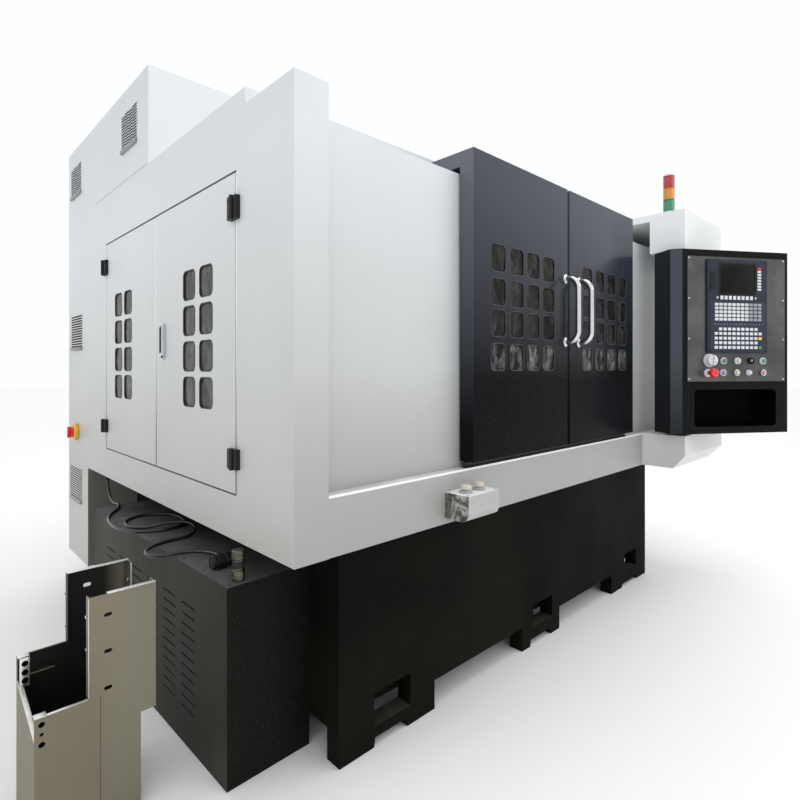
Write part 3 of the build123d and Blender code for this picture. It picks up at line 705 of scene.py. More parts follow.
# ---------------------------------------------------------------------------
# pump cable, on its route over the tank
# ---------------------------------------------------------------------------
CABLE = [(34, 1690, 637), (34, 1690, 615), (34, 1684, 591), (33, 1668, 567), (31, 1641, 547), (28, 1603, 534),
         (24, 1560, 530), (19, 1518, 534), (13, 1478, 543), (6, 1439, 552), (-1, 1398, 556), (-10, 1356, 555),
         (-25, 1316, 555), (-50, 1278, 555), (-78, 1238, 555), (-99, 1187, 554.5),
         (-111, 1128, 554), (-116, 1062, 553), (-111, 996, 554), (-88, 938, 555), (-46, 893, 555), (8, 871, 555),
         (62, 878, 555), (99, 914, 555), (112, 970, 555), (111, 1034, 555), (92, 1092, 555), (52, 1130, 555),
         (0, 1138, 555), (-46, 1115, 555), (-74, 1070, 555), (-79, 1014, 555), (-60, 965, 555.4), (-24, 932, 559),
         (20, 912, 568), (62, 880, 574), (84, 836, 574), (86, 792, 568), (66, 755, 559), (28, 734, 555.2),
         (-15, 737, 555), (-54, 733, 555), (-84, 722, 554), (-119, 698, 552.5), (-132, 658, 552), (-119, 617, 552.5),
         (-84, 594, 554), (-50, 590, 555), (-15, 574, 555), (8, 546, 555.5), (16, 511, 559), (14, 475, 566),
         (11, 441, 571.5), (10, 409, 572)]
cd = bpy.data.curves.new("pump_cable_line", "CURVE")
cd.dimensions = "3D"
cd.bevel_depth = 0.0055
cd.bevel_resolution = 5
cd.use_fill_caps = True
sp = cd.splines.new("NURBS")
sp.points.add(len(CABLE) - 1)
for q, c in zip(sp.points, CABLE):
    q.co = (*W(*c), 1.0)
sp.order_u = 3
sp.use_endpoint_u = True
sp.resolution_u = 10
cd.materials.append(cable_mat)
cable = bpy.data.objects.new("pump_cable_sheath", cd)
bpy.context.scene.collection.objects.link(cable)
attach(cable, "frame")
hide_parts("pump_cable")

p = Piece("gland_nut", "frame", "connector_plastic", [black_plastic])
p.lathe([(15, 0), (15, 5.5), (14, 7)], (34, 1690, 647), (0, 0, -1), 0, 6)
p.lathe([(12.5, 6), (12.5, 9), (9, 11), (8.6, 16), (8.0, 16.5), (8.2, 21), (7.4, 21.5), (7.6, 27), (6.9, 27.5), (7.0, 33),
         (6.0, 36)], (34, 1690, 647), (0, 0, -1), 0, 24)
p.finish(replaces=("cable_gland",))

p = Piece("pump_plug", "frame", "connector_plastic", [black_plastic, rubber, screw_metal])
CN = (-37, 388, 572)
p.lathe([(13, 2.5), (13, 1.5), (15.5, 0.4), (19, 0.4), (21, 3), (21, 11), (19.4, 12.5), (19.4, 16), (21, 17.5), (21, 33),
         (19, 35), (19, 41), (20.2, 42.5), (20.2, 55), (17, 59), (11, 61), (0, 61)], CN, (1, 0, 0), 0, 48)
p.lathe([(21, 18.5), (21.0, 32)], CN, (1, 0, 0), 1, 96, ribs=28, rib_depth=0.035)
p.lathe([(6, 0.5), (8.4, 0.2), (8.8, 2.5), (0, 2.5)], CN, (1, 0, 0), 1, 24)
p.box(-25, 11, 375, 401, 549, 567, 0, 2.5)
p.box(-29, 15, 370, 406, 549, 553, 0, 1.2)
for sx, sy in ((-25, 374), (11, 374), (-25, 402)):
    p.screw((sx, sy, 552.9), (0, 0, 1), 2.2, 2.0, 2)
p.lathe([(10, 14), (10, 18.5), (8.6, 19.5), (7.2, 21)], (10, 388, 572), (0, 1, 0), 0, 24)
p.lathe([(7.6, 20.5), (7.0, 25), (6.6, 25.4), (6.7, 30), (6.2, 30.6), (6.1, 36), (5.6, 38)], (10, 388, 572), (0, 1, 0), 1, 24)
p.finish(replaces=("pump_connector",))

# ---------------------------------------------------------------------------
# pipe union between the tank and the housing
# ---------------------------------------------------------------------------
p = Piece("pipe_union", "frame", "pipe_metal", [pipe_metal, black_metal, screw_metal])
PP = (-15, 263, 549)
p.lathe([(14.8, 0), (15, 1), (15, 86)], PP, (0, 0, 1), 0, 32)
p.lathe([(17, 0), (18, 1.2), (18, 12), (17.2, 13), (17.2, 15), (18, 16), (18, 30), (16.5, 32), (15.0, 32.5)], PP, (0, 0, 1), 0, 40)
p.lathe([(15.2, 38), (15.8, 39), (15.8, 56), (15.2, 57)], PP, (0, 0, 1), 1, 32)
for z in (34, 58.5):
    p.lathe([(15.2, z), (16.2, z + 0.6), (16.2, z + 2.0), (15.2, z + 2.6)], PP, (0, 0, 1), 0, 32)
p.lathe([(16.4, 62), (18, 63.5), (18, 74), (17, 75), (17, 76.5), (18, 77.5), (18, 85), (16, 87.8), (12, 88), (11, 84), (0, 84)],
        PP, (0, 0, 1), 0, 40)
p.finish(replaces=("tank_pipe",))

# tank: lid plate edges and fastenings, seams of its folded front corner
TANK = TO_ROW @ Matrix.Translation(Vector((-66.0, 228.0, 0))) @ Matrix.Rotation(math.radians(1.3), 4, "Z")
p = Piece("tank_lid", "frame", "tank_paint", [tank_paint, pale_metal_and_highlight, seam_dark, niche_mat], TANK)
p.box(0, 269, 0, 462, 549, 551, 0, 0.8)
p.box(0, 269, 466, 948, 549, 549.5, 0, 0.2)
for y in (18, 172, 312, 444):
    p.screw((16, y, 551), (0, 0, 1), 4, 2.4, 2)
p.screw((126, 18, 551), (0, 0, 1), 4, 2.4, 2)
p.screw((236, 18, 551), (0, 0, 1), 4, 2.4, 2)
p.box(-0.4, 0.6, -0.6, 1.5, 6, 548, 0, 0.5)
# painted shade: black strips behind the louvre slits stand in for the dark inside the tank
for i in range(6):
    for k in range(11):
        zc = 112.0 + 31.6 * k
        p.box(1.4, 2.2, 197.4 + 142.5 * i, 290.6 + 142.5 * i, zc - 2.9, zc + 2.9, 3, 0)
p.finish()

# ---------------------------------------------------------------------------
# main isolator
# ---------------------------------------------------------------------------
p = Piece("isolator_drum", "frame", "yellow_plastic", [yellow_plastic, seam_dark])
p.lathe([(42.6, 0), (43.5, 1.5), (43.5, 15), (42.4, 18.5), (39, 21), (33, 22), (31, 22), (30, 20.2), (0, 20.2)],
        (0, 2105, 811), (-1, 0, 0), 0, 56)
for k in range(3):
    a = math.radians(90 + 120 * k)
    p.lathe([(3.2, 21.2), (3.2, 22.1), (0, 22.1)], (0, 2105 + 36 * math.cos(a), 811 + 36 * math.sin(a)), (-1, 0, 0), 1, 14)
p.finish(replaces=("isolator_plate",))
p = Piece("isolator_handle", "isolator_knob", "red_plastic", [red_plastic, key_white])
p.lathe([(24.5, 22.7), (26, 24), (26, 28), (24, 31), (14, 32.2), (0, 32.2)], (0, 2105, 811), (-1, 0, 0), 0, 48, ribs=0)
p.prism(rr_pts(2105, 811, 18, 58, 8, 6), -46.8, -30, "yz", 0, bevel=1.6)
p.box(-47, -46.4, 2103.8, 2106.2, 816, 836, 1, 0.2)
p.finish(replaces=("isolator_knob",))

# ---------------------------------------------------------------------------
# side doors: hinges, screws, gaskets, latch
# ---------------------------------------------------------------------------
HZ = [(855.0, 913.0), (1575.0, 1642.0)]


def hinge_face(p, y, z0, z1):
    for z in (z0 + 12, z1 - 12):
        p.lathe([(5.4, 0), (5.4, 0.4), (4.2, 0.6), (3.8, 2.0), (2.4, 2.5), (0, 2.5)], (-14, y, z), (-1, 0, 0), 1, 16)


p = Piece("hinge_barrels", "frame", "black_metal", [black_metal, black_plastic])
for y, yf in ((305.0, 292.0), (1581.0, 1594.0)):
    for z0, z1 in HZ:
        n = 3
        step = (z1 - z0) / n
        for k in range(n):
            p.lathe([(6.3, 0.6), (7.0, 1.4), (7.0, step - 1.4), (6.3, step - 0.6)], (-16, y, z0 + k * step), (0, 0, 1), 0, 24)
        p.lathe([(4.5, -1.5), (5.5, -0.5), (5.5, 0.6)], (-16, y, z0), (0, 0, 1), 0, 20)
        p.lathe([(5.5, -0.6), (5.5, 0.5), (4.5, 1.5)], (-16, y, z1), (0, 0, 1), 0, 20)
        hinge_face(p, yf, z0, z1)
p.finish()
p = Piece("hinge_screws_front", "side_door_front", "black_metal", [black_metal, black_plastic])
for z0, z1 in HZ:
    hinge_face(p, 326, z0, z1)
p.finish()
p = Piece("hinge_screws_rear", "side_door_rear", "black_metal", [black_metal, black_plastic])
for z0, z1 in HZ:
    hinge_face(p, 1560, z0, z1)
p.finish()

SROWS = [1068.0, 1186.0, 1305.0, 1424.0]
for nm, body, cols in (("side_gaskets_front", "side_door_front", (510.0, 641.0)), ("side_gaskets_rear", "side_door_rear", (1272.0, 1399.0))):
    p = Piece(nm, body, "black_metal", [rubber])
    for c in cols:
        for r in SROWS:
            p.ring(c, r, 99, 101, 20.5, 4.0, -0.8, 3.8, 0, "yz", 6)
    p.finish()

# folded inner frames and stiffeners on the back of the side doors
for nm, body, y0, y1 in (("side_frame_front", "side_door_front", 310, 940.5), ("side_frame_rear", "side_door_rear", 945.5, 1576)):
    p = Piece(nm, body, "white_paint", [white, rubber])
    p.box(30, 42, y0 + 34, y0 + 56, 806, 1690, 0, 1.5)
    p.box(30, 42, y1 - 56, y1 - 34, 806, 1690, 0, 1.5)
    p.box(30, 42, y0 + 56, y1 - 56, 806, 828, 0, 1.5)
    p.box(30, 42, y0 + 56, y1 - 56, 1668, 1690, 0, 1.5)
    p.finish()

p = Piece("side_latch", "side_door_front", "chrome", [chrome, black_plastic])
p.ring(865, 1243.5, 34, 131, 16.8, 4.5, -8.0, 0.0, 0, "yz", 8)
p.rrect(868.5, 1243.5, 24, 108, 7, -12.5, -0.2, 1, 1.5, "yz", 8)
p.prism(rr_pts(852.5, 1247, 7, 112, 3.2, 7), -13.5, -1.0, "yz", 0, bevel=1.2)
p.lathe([(7.5, 1.5), (7.5, 13), (6.5, 14.5), (3, 15), (0, 14.2)], (0, 866, 1196), (-1, 0, 0), 0, 28)
p.finish(replaces=("side_door_handle",))

# ---------------------------------------------------------------------------
# front doors: gaskets, meeting seals, track, handle flanges
# ---------------------------------------------------------------------------
FROWS = [1186.0, 1304.0, 1413.0, 1531.0]
for nm, body, cols in (("gaskets_left", "door_left", (809.0, 922.0, 1029.0, 1138.0)), ("gaskets_right", "door_right", (1451.0, 1568.0, 1682.0, 1796.0))):
    p = Piece(nm, body, "black_metal", [rubber, rim_edge_highlight])
    for c in cols:
        for r in FROWS:
            p.ring(c, r, 88.6, 97.6, 20.2, 3.0, -28.6, -26.2, 0, "xz", 6)
            # outer grey rim: painted highlight of the sheet edge round the window
            p.ring(c, r, 88.4, 97.4, 20.1, 1.4, -30.3, -28.4, 1, "xz", 6)
    p.finish()
p = Piece("seal_left", "door_left", "black_metal", [rubber])
p.box(1282, 1285.5, -26, 22, 838, 1872, 0, 1)
p.tube([(1286.5, -12, 838), (1286.5, -12, 1872)], 3.2, 0, 12)
p.finish()
p = Piece("seal_right", "door_right", "black_metal", [door_paint])
p.box(1296.5, 1300, -26, 22, 838, 1872, 0, 1)
p.tube([(1295.5, -12, 838), (1295.5, -12, 1872)], 3.2, 0, 12)
p.finish()
for nm, body, hx in (("handle_screws_left", "door_left", 1253.0), ("handle_screws_right", "door_right", 1361.0)):
    p = Piece(nm, body, "chrome", [chrome, screw_metal])
    for hz in (1253.0, 1508.0):
        p.lathe([(19.4, 9.4), (19.8, 10.2), (17, 12.0), (12.5, 13.2), (11.4, 15)], (hx, -30, hz), (0, -1, 0), 0, 36)
        for k in range(3):
            a = math.radians(30 + 120 * k)
            p.lathe([(2.6, 11.2), (2.6, 13.0), (1.6, 13.6), (0, 13.6)], (hx + 15.6 * math.cos(a), -30, hz + 15.6 * math.sin(a)),
                    (0, -1, 0), 1, 12)
    p.finish()
# the door track is drawn black as painted shadow under the doors
p = Piece("door_track", "frame", "black_metal", [black_metal, pale_metal_and_highlight])
p.prism([(2, 811), (22, 811), (22, 815), (15, 816), (14, 829), (10, 829), (9, 816), (2, 815)], 672, 1912, "yz", 0)
for k in range(7):
    p.screw((700 + k * 195, 27, 811), (0, 0, 1), 3.4, 2.4, 0)
p.finish()
# painted highlight on the folded edge along the top of the apron
p = Piece("apron_fold", "frame", "white_paint", [apron_edge_highlight])
p.box(106, 2100, -0.7, 1.2, 804.2, 811.5, 0, 0.5)
p.finish()

# ---------------------------------------------------------------------------
# control pendant
# ---------------------------------------------------------------------------
NY = (0, -1, 0)
p = Piece("control_panel", "pendant", "unit_case",
          [unit_case, black_plastic, screen_mat, key_white, key_grey, key_yellow, key_green, screw_metal, led_mat, unit_field, red_plastic],
          PEND @ Matrix.Translation(Vector((-12.0, 0.0, 0.0))))
p.rrect(357.4, 1452.7, 340, 460, 7, -12.5, -3, 0, 1.4)
p.ring(357.1, 1586, 210, 160, 7, 6.5, -14.6, -12.0, 1, "xz", 5)
p.rrect(357.1, 1586, 196, 146, 3, -13.2, -12.0, 2, 0.2)
p.rrect(218.5, 1578.5, 35, 83, 4, -15, -12.0, 1, 0.8)
p.rrect(218.5, 1606, 20, 12, 3, -15.6, -14.4, 1, 0.4)
p.rrect(357.4, 1424, 312, 102, 4, -13.1, -12.2, 9, 0.2)
p.rrect(357.4, 1304, 312, 134, 4, -13.1, -12.2, 9, 0.2)


def key(u, z, w=17.0, h=12.5, m=3, y=-15.0):
    p.box(u - w / 2, u + w / 2, y, -12.4, z - h / 2, z + h / 2, m, 0.9, 1)


for k in range(8):
    key(480.5, 1641 - k * 14.7, 21, 10.6, 3 if k else 10)
for k in range(10):
    if k in (0, 9):
        key(243 + k * 24.0, 1494, 9.5, 9.5, 3)
    else:
        key(243 + k * 24.0, 1494, 16.5, 19, 3)
for r in range(5):
    for c in range(11):
        m = 3 if c < 8 else 4
        key(226 + 12.2 + c * 24.36, 1470 - 9.1 - r * 18.2, 19.5, 13.6, m)
for k in range(16):
    u = 232 + k * 16.6
    p.lathe([(2.4, 12.2), (2.4, 13.6), (1.2, 14.4), (0, 14.6)], (u, 0, 1364), NY, 4, 10)


def row(z, u0, u1, n, last=None):
    for k in range(n):
        key(u0 + (u1 - u0) * k / (n - 1), z, 18.0, 14.0, last if (last and k == n - 1) else 3)


row(1340, 260, 461, 9)
row(1318, 236, 485, 11)
row(1295, 236, 485, 11, 5)
row(1273, 236, 461, 10)
row(1250, 236, 485, 11, 6)
for u in (195, 357.4, 520):
    for z in (1231, 1674):
        p.lathe([(3.6, 12.3), (3.6, 13.4), (2.6, 14.2), (1.0, 14.2), (1.0, 13.4), (0, 13.4)], (u, 0, z), NY, 1, 14)
p.finish(replaces=("control_unit",))

p = Piece("panel_controls", "pendant", "chrome",
          [chrome, green_plastic, cream_plastic, black_plastic, purple_plastic, pale_plastic, pink_plastic, screw_metal,
           yellow_plastic], PEND)


def lamp(u, z, cap, r=10.5, ring=17.0, dome=False, rim=5):
    p.lathe([(ring - 1, 3), (ring, 4), (ring, 10), (ring - 1.5, 13.6), (ring - 3.6, 14.6), (r + 0.6, 13.4), (r, 9.4)], (u, 0, z), NY, rim, 36)
    if dome:
        p.lathe([(r, 9), (r, 15), (r * 0.92, 19), (r * 0.7, 22), (r * 0.4, 23.6), (0, 24)], (u, 0, z), NY, cap, 32)
    else:
        p.lathe([(r, 9), (r, 19), (r - 1.2, 21.4), (r - 3.2, 22), (r - 4, 20.8), (0, 20.4)], (u, 0, z), NY, cap, 32)


lamp(271, 1184, 1)
lamp(349, 1184, 2)
lamp(494.5, 1184, 1)
lamp(267.5, 1126, 4, dome=True)
lamp(343, 1126, 2, rim=0)
lamp(413, 1126, 5, 9.5, 14)
lamp(495.5, 1126, 6, dome=True, rim=0)
p.lathe([(16, 3), (17, 4), (17, 8), (15, 11), (13, 12), (13, 14), (0, 14)], (427, 0, 1184), NY, 3, 32)
p.prism(rr_pts(427, 1184, 8.5, 27, 3.5, 5), -24, -13, "xz", 3, bevel=1.0)
p.box(419, 423, -21, -14, 1180, 1192, 5, 1.0)
# scale plate behind the override knob, and collar of the emergency stop
p.lathe([(32, 3), (33, 3.8), (33, 6.5), (32, 7.6), (0, 8)], (193, 0, 1186), NY, 5, 56)
for k in range(11):
    a = math.radians(-30 + 24 * k)
    c, s = math.cos(a), math.sin(a)
    p.box(-0.6, 0.6, -8.4, -7.2, 31.2, 32.8, 3, 0.1, 1,
          L=Matrix.Translation(Vector((193, 0, 1186))) @ Matrix.Rotation(a - math.pi / 2, 4, "Y"))
p.lathe([(19, 3), (20, 4), (20, 9), (18.5, 11.4), (13, 12), (0, 12)], (183, 0, 1125), NY, 5, 40)
p.finish(replaces=("pendant_buttons",))

p = Piece("override_dial", "override_knob", "pale_plastic", [pale_plastic, black_plastic], PEND)
p.lathe([(30, 8.7), (31, 10), (31, 13), (28.4, 14.5), (27.6, 29), (25, 33), (20, 34), (0, 34)], (193, 0, 1186), NY, 0, 120, ribs=20, rib_depth=0.05)
p.prism(rr_pts(193, 1186, 6.5, 52, 3, 4), -40, -33.5, "xz", 0, bevel=1.2)
for dx, dz in ((-11, 8), (11, -8), (0, -19)):
    p.prism(rr_pts(193 + dx, 1186 + dz, 7, 3.4, 1.6, 3), -34.6, -33.6, "xz", 1)
p.box(192.3, 193.7, -40.3, -39.5, 1188, 1204, 1, 0.1)
p.finish(replaces=("override_knob",))

p = Piece("estop_head", "estop_button", "red_plastic", [red_plastic, pink_plastic], PEND)
p.lathe([(12, 20), (12, 38), (19, 38.4), (22, 40.5), (23, 44), (22.6, 49), (20, 55), (15, 57.4), (8, 58), (0, 58)],
        (183, 0, 1125), NY, 0, 48)
for k in range(3):
    a0 = math.radians(120 * k + 20)
    pts = []
    for j in range(9):
        a = a0 + math.radians(70) * j / 8.0
        pts.append((183 + 13 * math.cos(a), -57.5, 1125 + 13 * math.sin(a)))
    p.tube(pts, 0.9, 1, 6)
p.finish(replaces=("estop_button",))

p = Piece("pendant_niche", "pendant", "black_metal", [niche_mat, black_plastic], PEND)
p.ring(347, 951.5, 465.4, 182.4, 21.8, 1.6, 1.2, 94.2, 0, "xz", 8)
p.rrect(347, 951.5, 463, 180, 20.8, 92.4, 94.6, 0, 0.0, "xz", 8)
p.finish()

p = Piece("pendant_trim", "pendant", "pendant_paint", [pendant_paint, screw_metal, black_plastic, rubber], PEND)
for u in (82.0, 617.0):
    for z in (1686, 1488, 1292, 1094):
        p.lathe([(5.4, 3), (5.4, 3.8), (4.6, 5.2), (3, 6), (1.4, 6), (1.4, 5), (0, 5)], (u, 0, z), NY, 1, 18)
# rear cover
p.rrect(335, 1300, 520, 760, 10, 141, 143.6, 0, 0.8)
for u in (92, 335, 578):
    for z in (940, 1300, 1660):
        p.lathe([(5, 0), (5, 1), (4, 2.4), (2, 3), (0, 3)], (u, 143.4, z), (0, 1, 0), 1, 14)
# collars at the pivot
for z0, z1 in ((1729, 1733), (815, 826)):
    p.lathe([(31, z0), (32, z0 + 0.6), (32, z1 - 1.5), (30, z1 - 0.4), (26, z1)], (90, 75, 0), (0, 0, 1), 0, 40)
# vents on the outer end
for k in range(9):
    p.box(645.5, 647.2, 40, 101, 1480 + k * 14, 1485 + k * 14, 2, 0.4)
p.finish()

# ---------------------------------------------------------------------------
# tower light
# ---------------------------------------------------------------------------
p = Piece("signal_tower", "frame", "tower_plastic", [black_plastic, tier_green, tier_amber, tier_red, pale_plastic])
TL = (2152, -113, 1934)
p.lathe([(27.5, 0), (27.5, 7), (26, 10), (24, 11)], TL, (0, 0, 1), 4, 48)
z = 11.0
for m in (1, 2, 3):
    p.lathe([(24.5, z), (26.6, z + 1.5), (26.6, z + 1.6), (26.9, z + 28), (26.6, z + 54), (24.5, z + 56)], TL, (0, 0, 1), m, 96,
            ribs=32, rib_depth=0.02)
    p.lathe([(25.6, z + 56), (26.8, z + 56.6), (26.8, z + 59.0), (25.6, z + 59.8)], TL, (0, 0, 1), m, 48)
    z += 60.0
p.lathe([(27, z), (27, z + 7), (24.5, z + 13), (17, z + 18), (8, z + 19.6), (0, z + 20)], TL, (0, 0, 1), 4, 48)
p.finish(replaces=("tower_light",))

# ---------------------------------------------------------------------------
# push-button box
# ---------------------------------------------------------------------------
for nm, body, bxx in (("cap_left", "button_left", 606.0), ("cap_right", "button_right", 672.0)):
    p = Piece(nm, body, "cream_plastic", [cream_plastic])
    p.lathe([(12, 10.4), (16.4, 11.4), (17, 12.8), (17, 21.5), (15.6, 24.6), (12, 26), (6, 25.4), (0, 25.2)], (bxx, -50, 750), (0, 0, 1), 0, 40)
    p.finish(replaces=(body,))
p = Piece("button_collars", "frame", "cream_plastic", [key_grey, screw_metal, chrome])
for bxx in (606.0, 672.0):
    p.lathe([(21.5, 0), (22, 1), (22, 4.5), (20.5, 6.4), (18.6, 6.8), (18.4, 1.6), (13, 1.5), (0, 1.5)], (bxx, -50, 750), (0, 0, 1), 0, 44)
for sx in (572, 709):
    for sy in (-88, -12):
        p.screw((sx, sy, 750), (0, 0, 1), 3.4, 2.2, 1)
p.finish()

# ---------------------------------------------------------------------------
# chip chute: folded lips, flanges, bolts
# ---------------------------------------------------------------------------
p = Piece("chute_lips", "frame", "galvanised", [galv, pale_metal_and_highlight, screw_metal, seam_dark, galv_chute, niche_mat])
# folded tops of the tall plates, right of the corner cut, mostly near-white as painted highlight
p.box(-325, -208, 350.2, 364, 574.0, 576.5, 1, 0.8)
p.box(-368, -208, 574, 589.8, 574.0, 576.5, 1, 0.8)
p.box(-367.5, -325, 350.4, 354, 573.0, 575.4, 0, 0.6)
# edges of the right end flanges in painted highlight, and their bolts
p.box(-211, -208.2, 389, 392.6, 247, 574, 1, 0.6)
p.box(-211, -208.2, 547.4, 551, 247, 574, 1, 0.6)
for y in (374, 566):
    for z in (300, 520):
        p.lathe([(7, 0), (7, 1.2), (6, 1.6)], (-208, y, z), (1, 0, 0), 2, 18)
        p.lathe([(5.2, 1.4), (5.2, 4.6), (4.4, 5.4), (0, 5.4)], (-208, y, z), (1, 0, 0), 2, 6)
        p.lathe([(5.2, 0), (5.2, 3.6), (4.4, 4.4), (0, 4.4)], (-211, y, z), (-1, 0, 0), 2, 6)
# bolts on the left end flanges, which face left
for y, zs in ((362, (446, 527)), (578, (430, 520))):
    for z in zs:
        p.lathe([(5.4, 0), (5.4, 1.0), (4.8, 1.2)], (-368, y, z), (-1, 0, 0), 2, 18)
        p.lathe([(4.2, 1.0), (4.2, 4.2), (3.6, 4.8), (0, 4.8)], (-368, y, z), (-1, 0, 0), 2, 6)
# painted highlight on the edge of the left flange
p.box(-368.8, -367.4, 349.8, 351.2, 327, 574, 1, 0.4)
# low part: folded tops, and the corner tabs lying flat on them, near-white as painted highlight
p.box(-455, -369, 350.2, 358, 324.4, 326.4, 1, 0.7)
p.box(-480.8, -455, 350.2, 372, 324.4, 327.0, 1, 0.8)
p.box(-455, -369, 585, 589.8, 382.4, 383.6, 0, 0.4)
p.box(-480.8, -455, 568, 589.8, 382.4, 385.0, 1, 0.8)
# bright ledge inside the far wall
p.box(-476, -396, 580, 587, 326, 328, 0, 0.6)
# holed bracket plate behind the far corner tab, pale, with black discs as painted shade in its holes
p.box(-477.5, -455, 564.6, 567, 306, 382, 1, 0.8)
for z in (322, 344, 367):
    p.lathe([(7.6, 0.1), (7.6, 0.6), (0, 0.6)], (-466, 565, z), (0, -1, 0), 5, 24)
# end plate lip, following its slope, near-white as painted highlight
t0, t1 = Vector((-481, 354, 268)), Vector((-481, 586, 315))
for a0_, b0_ in ((-480.8, -478.0),):
    me_pts = [(354, 268), (586, 315), (586, 318.5), (354, 271.5)]
    p.prism(me_pts, a0_, -470.0, "yz", 1, bevel=0.5)
# seam of the two sheets on the near plate
p.box(-342.6, -341.2, 349.3, 350.2, 4, 325, 3, 0.1)
# mouth floor flange
p.box(-249, -208, 352, 588, 245, 247.2, 0, 0.6)
p.finish()

# ---------------------------------------------------------------------------
# seams, fastenings and covers of the housing
# ---------------------------------------------------------------------------
p = Piece("housing_seams", "frame", "white_paint", [seam_pale, seam_dark, screw_metal, edge_highlight_fade])
# joint between the cabinet and the roof sheet, on the left side
p.box(-0.5, 0.3, 1038, 1769, 1941, 1943.2, 0, 0.1)
# rebates round the side doors: folded uprights in a painted highlight that fades into painted shade lower down, and
# dark strips as painted shade in the gaps along the top and the bottom
p.box(-0.5, 2.0, 300.6, 304.9, 784, 1713, 3, 0.2)
p.box(-0.5, 2.0, 1581.2, 1584.4, 784, 1713, 3, 0.2)
p.box(-0.4, 2.2, 306, 1580, 1714.4, 1719.4, 1, 0.2)
p.box(-0.3, 2.2, 306, 1580, 776.6, 780.6, 1, 0.2)
p.finish()
p = Piece("meeting_edge", "side_door_rear", "white_paint", [edge_highlight_fade])
# painted highlight on the meeting edge, fading into painted shade lower down
p.box(-0.5, 2.2, 945.3, 949.4, 784, 1711, 0, 0.2)
p.box(0.8, 28, 945.2, 945.8, 784, 1711, 0, 0.1)
p.finish()

p = Piece("rear_covers", "frame", "white_paint", [white, screw_metal, black_plastic, chrome, seam_dark])
# rear wall service panels
for x0, x1 in ((1450, 2030), (2060, 2640)):
    p.box(x0, x1, 1894, 1896.4, 700, 1860, 0, 1.0)
    for z in (720, 1090, 1470, 1840):
        for x in (x0 + 16, x1 - 16):
            p.screw((x, 1896.2, z), (0, 1, 0), 4.5, 3, 1)
# right wall service panel and its latch
p.box(2674, 2676.4, 420, 1120, 700, 1860, 0, 1.0)
p.box(2674, 2676.4, 1160, 1860, 700, 1860, 0, 1.0)
for y0, y1 in ((420, 1120), (1160, 1860)):
    for z in (720, 1090, 1470, 1840):
        for y in (y0 + 16, y1 - 16):
            p.screw((2676.2, y, z), (1, 0, 0), 4.5, 3, 1)
for k in range(12):
    p.box(2676, 2681, 1300, 1700, 1560 + k * 17, 1566 + k * 17, 2, 0.6)
# a joint line across the rear face of the cabinet
p.box(0, 1400, 2284.6, 2285.0, 1100, 1102, 4, 0.05)
p.finish()

p = Piece("cabinet_doors", "frame", "white_paint", [seam_dark, chrome, black_plastic])
for x0, x1 in ((30, 695), (705, 1370)):
    for (a, b, c, d) in ((x0, x0 + 2, 190, 2290), (x1 - 2, x1, 190, 2290)):
        p.box(a, b, 2284.4, 2285.0, c, d, 0, 0.05)
    p.box(x0, x1, 2284.4, 2285.0, 190, 192, 0, 0.05)
    p.box(x0, x1, 2284.4, 2285.0, 2288, 2290, 0, 0.05)
p.finish()

# ---------------------------------------------------------------------------
# machinery in the work chamber
# ---------------------------------------------------------------------------
p = Piece("chuck_body", "frame", "chrome", [bed_steel, screw_metal, black_plastic])
CK = (930, 640, 1165)
p.lathe([(122, 0), (125, 2), (125, 46), (121, 49), (121, 52), (125, 55), (125, 100), (118, 109), (40, 110), (36, 106), (30, 106), (30, 60), (0, 60)],
        CK, (1, 0, 0), 0, 80)
for k in range(3):
    a = math.radians(90 + 120 * k)
    R = Matrix.Translation(Vector(CK)) @ Matrix.Rotation(a, 4, "X")
    p.box(109, 122, -20, 20, 34, 112, 1, 1.5, L=R)
    p.box(121, 129.5, -20, 20, 48, 106, 1, 1.2, L=R)
    for q in (62, 90):
        p.lathe([(7, 129.4), (7, 130), (4.6, 130), (4.2, 126), (0, 126)], R @ Vector((0, 0, q)), (1, 0, 0), 2, 18)
for k in range(6):
    a = math.radians(30 + 60 * k)
    p.lathe([(6, 108), (6, 111), (3.5, 111), (3.2, 108.5), (0, 108.5)], (930, 640 + 100 * math.cos(a), 1165 + 100 * math.sin(a)), (1, 0, 0), 1, 16)
p.finish(replaces=("chuck",))

p = Piece("way_covers", "frame", "bed_steel", [bed_steel, screw_metal, seam_dark])
nrm = Vector((0, -1, 1)).normalized()
a0, a1 = Vector((0, 600, 900)), Vector((0, 1150, 1450))
for k in range(7):
    x0, x1 = 1064 + k * 112, 1064 + k * 112 + 124
    h = 22 - 2.4 * k
    q0, q1 = a0 + nrm * h, a1 + nrm * h
    p.prism([(a0.y, a0.z), (q0.y, q0.z), (q1.y, q1.z), (a1.y, a1.z)], x0, min(x1, 1868), "yz", 0, bevel=0.8)
    p.tube([(min(x1, 1868) - 2, q0.y, q0.z), (min(x1, 1868) - 2, q1.y, q1.z)], 2.2, 1, 8)
p.finish()

p = Piece("chamber_fittings", "frame", "chamber_paint", [chamber_paint, screw_metal, black_plastic, pale_plastic])
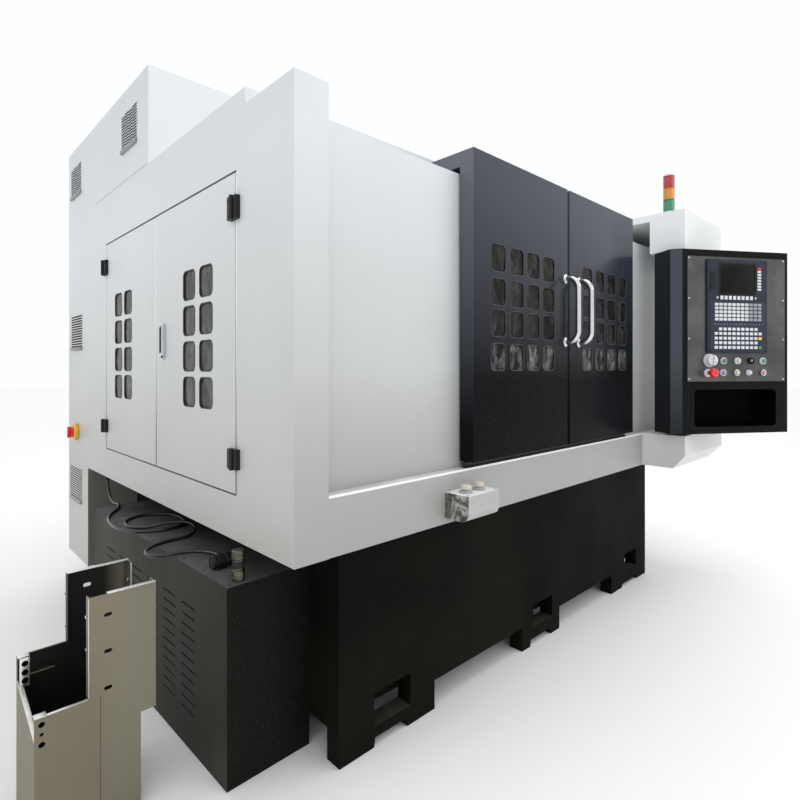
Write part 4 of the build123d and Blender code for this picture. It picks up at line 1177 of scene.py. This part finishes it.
# headstock nose ring and its bolts
p.lathe([(150, -2), (152, 0), (152, 14), (146, 18), (126, 18)], (930, 640, 1165), (1, 0, 0), 0, 72)
for k in range(10):
    a = math.radians(36 * k)
    p.lathe([(6, 17), (6, 23), (3.6, 23), (3.4, 20), (0, 20)], (930, 640 + 140 * math.cos(a), 1165 + 140 * math.sin(a)), (1, 0, 0), 1, 14)
# work light under the roof
p.box(1150, 1560, 1180, 1240, 1780, 1815, 2, 4)
p.box(1162, 1548, 1176, 1232, 1776, 1781, 3, 1.5)
p.finish()

# ---------------------------------------------------------------------------
# render stage
# ---------------------------------------------------------------------------
fl = bpy.data.meshes.new("floor")
S = 40.0
fl.from_pydata([(-S, -S, -0.001), (S, -S, -0.001), (S, S, -0.001), (-S, S, -0.001)], [], [(0, 1, 2, 3)])
floor = bpy.data.objects.new("floor", fl)
bpy.context.scene.collection.objects.link(floor)
FM = Mat("floor")
FM.put("Base Color", FM.mix(FM.noise(0.6, 3.0), (0.975, 0.975, 0.975), (0.965, 0.965, 0.965)))
FM.put("Roughness", 0.75)
fl.materials.append(FM.m)

world = bpy.data.worlds.new("studio")
bpy.context.scene.world = world
world.use_nodes = True
bg = world.node_tree.nodes["Background"]
bg.inputs[0].default_value = (0.985, 0.992, 1.0, 1)
bg.inputs[1].default_value = 1.0


def area(name, loc, target, size, energy, color=(1, 1, 1), size_y=None):
    d = bpy.data.lights.new(name, "AREA")
    d.shape = "RECTANGLE"
    d.size = size
    d.size_y = size_y or size
    d.energy = energy
    d.color = color
    o = bpy.data.objects.new(name, d)
    bpy.context.scene.collection.objects.link(o)
    o.location = loc
    o.rotation_euler = (Vector(target) - Vector(loc)).to_track_quat("-Z", "Y").to_euler()
    return o


area("key", (1.6, -5.6, 4.2), (0.2, -0.6, 1.2), 3.2, 26.0, (1.0, 0.99, 0.97), 2.2)
area("fill", (-5.5, -0.5, 3.6), (-1.0, 0.2, 1.0), 3.0, 8.0, (0.95, 0.98, 1.0))
area("ceiling", (0.5, -1.0, 5.4), (0.3, -0.3, 0.0), 3.5, 80.0)

sc = bpy.context.scene
sc.view_settings.view_transform = "Standard"
sc.view_settings.look = "None"
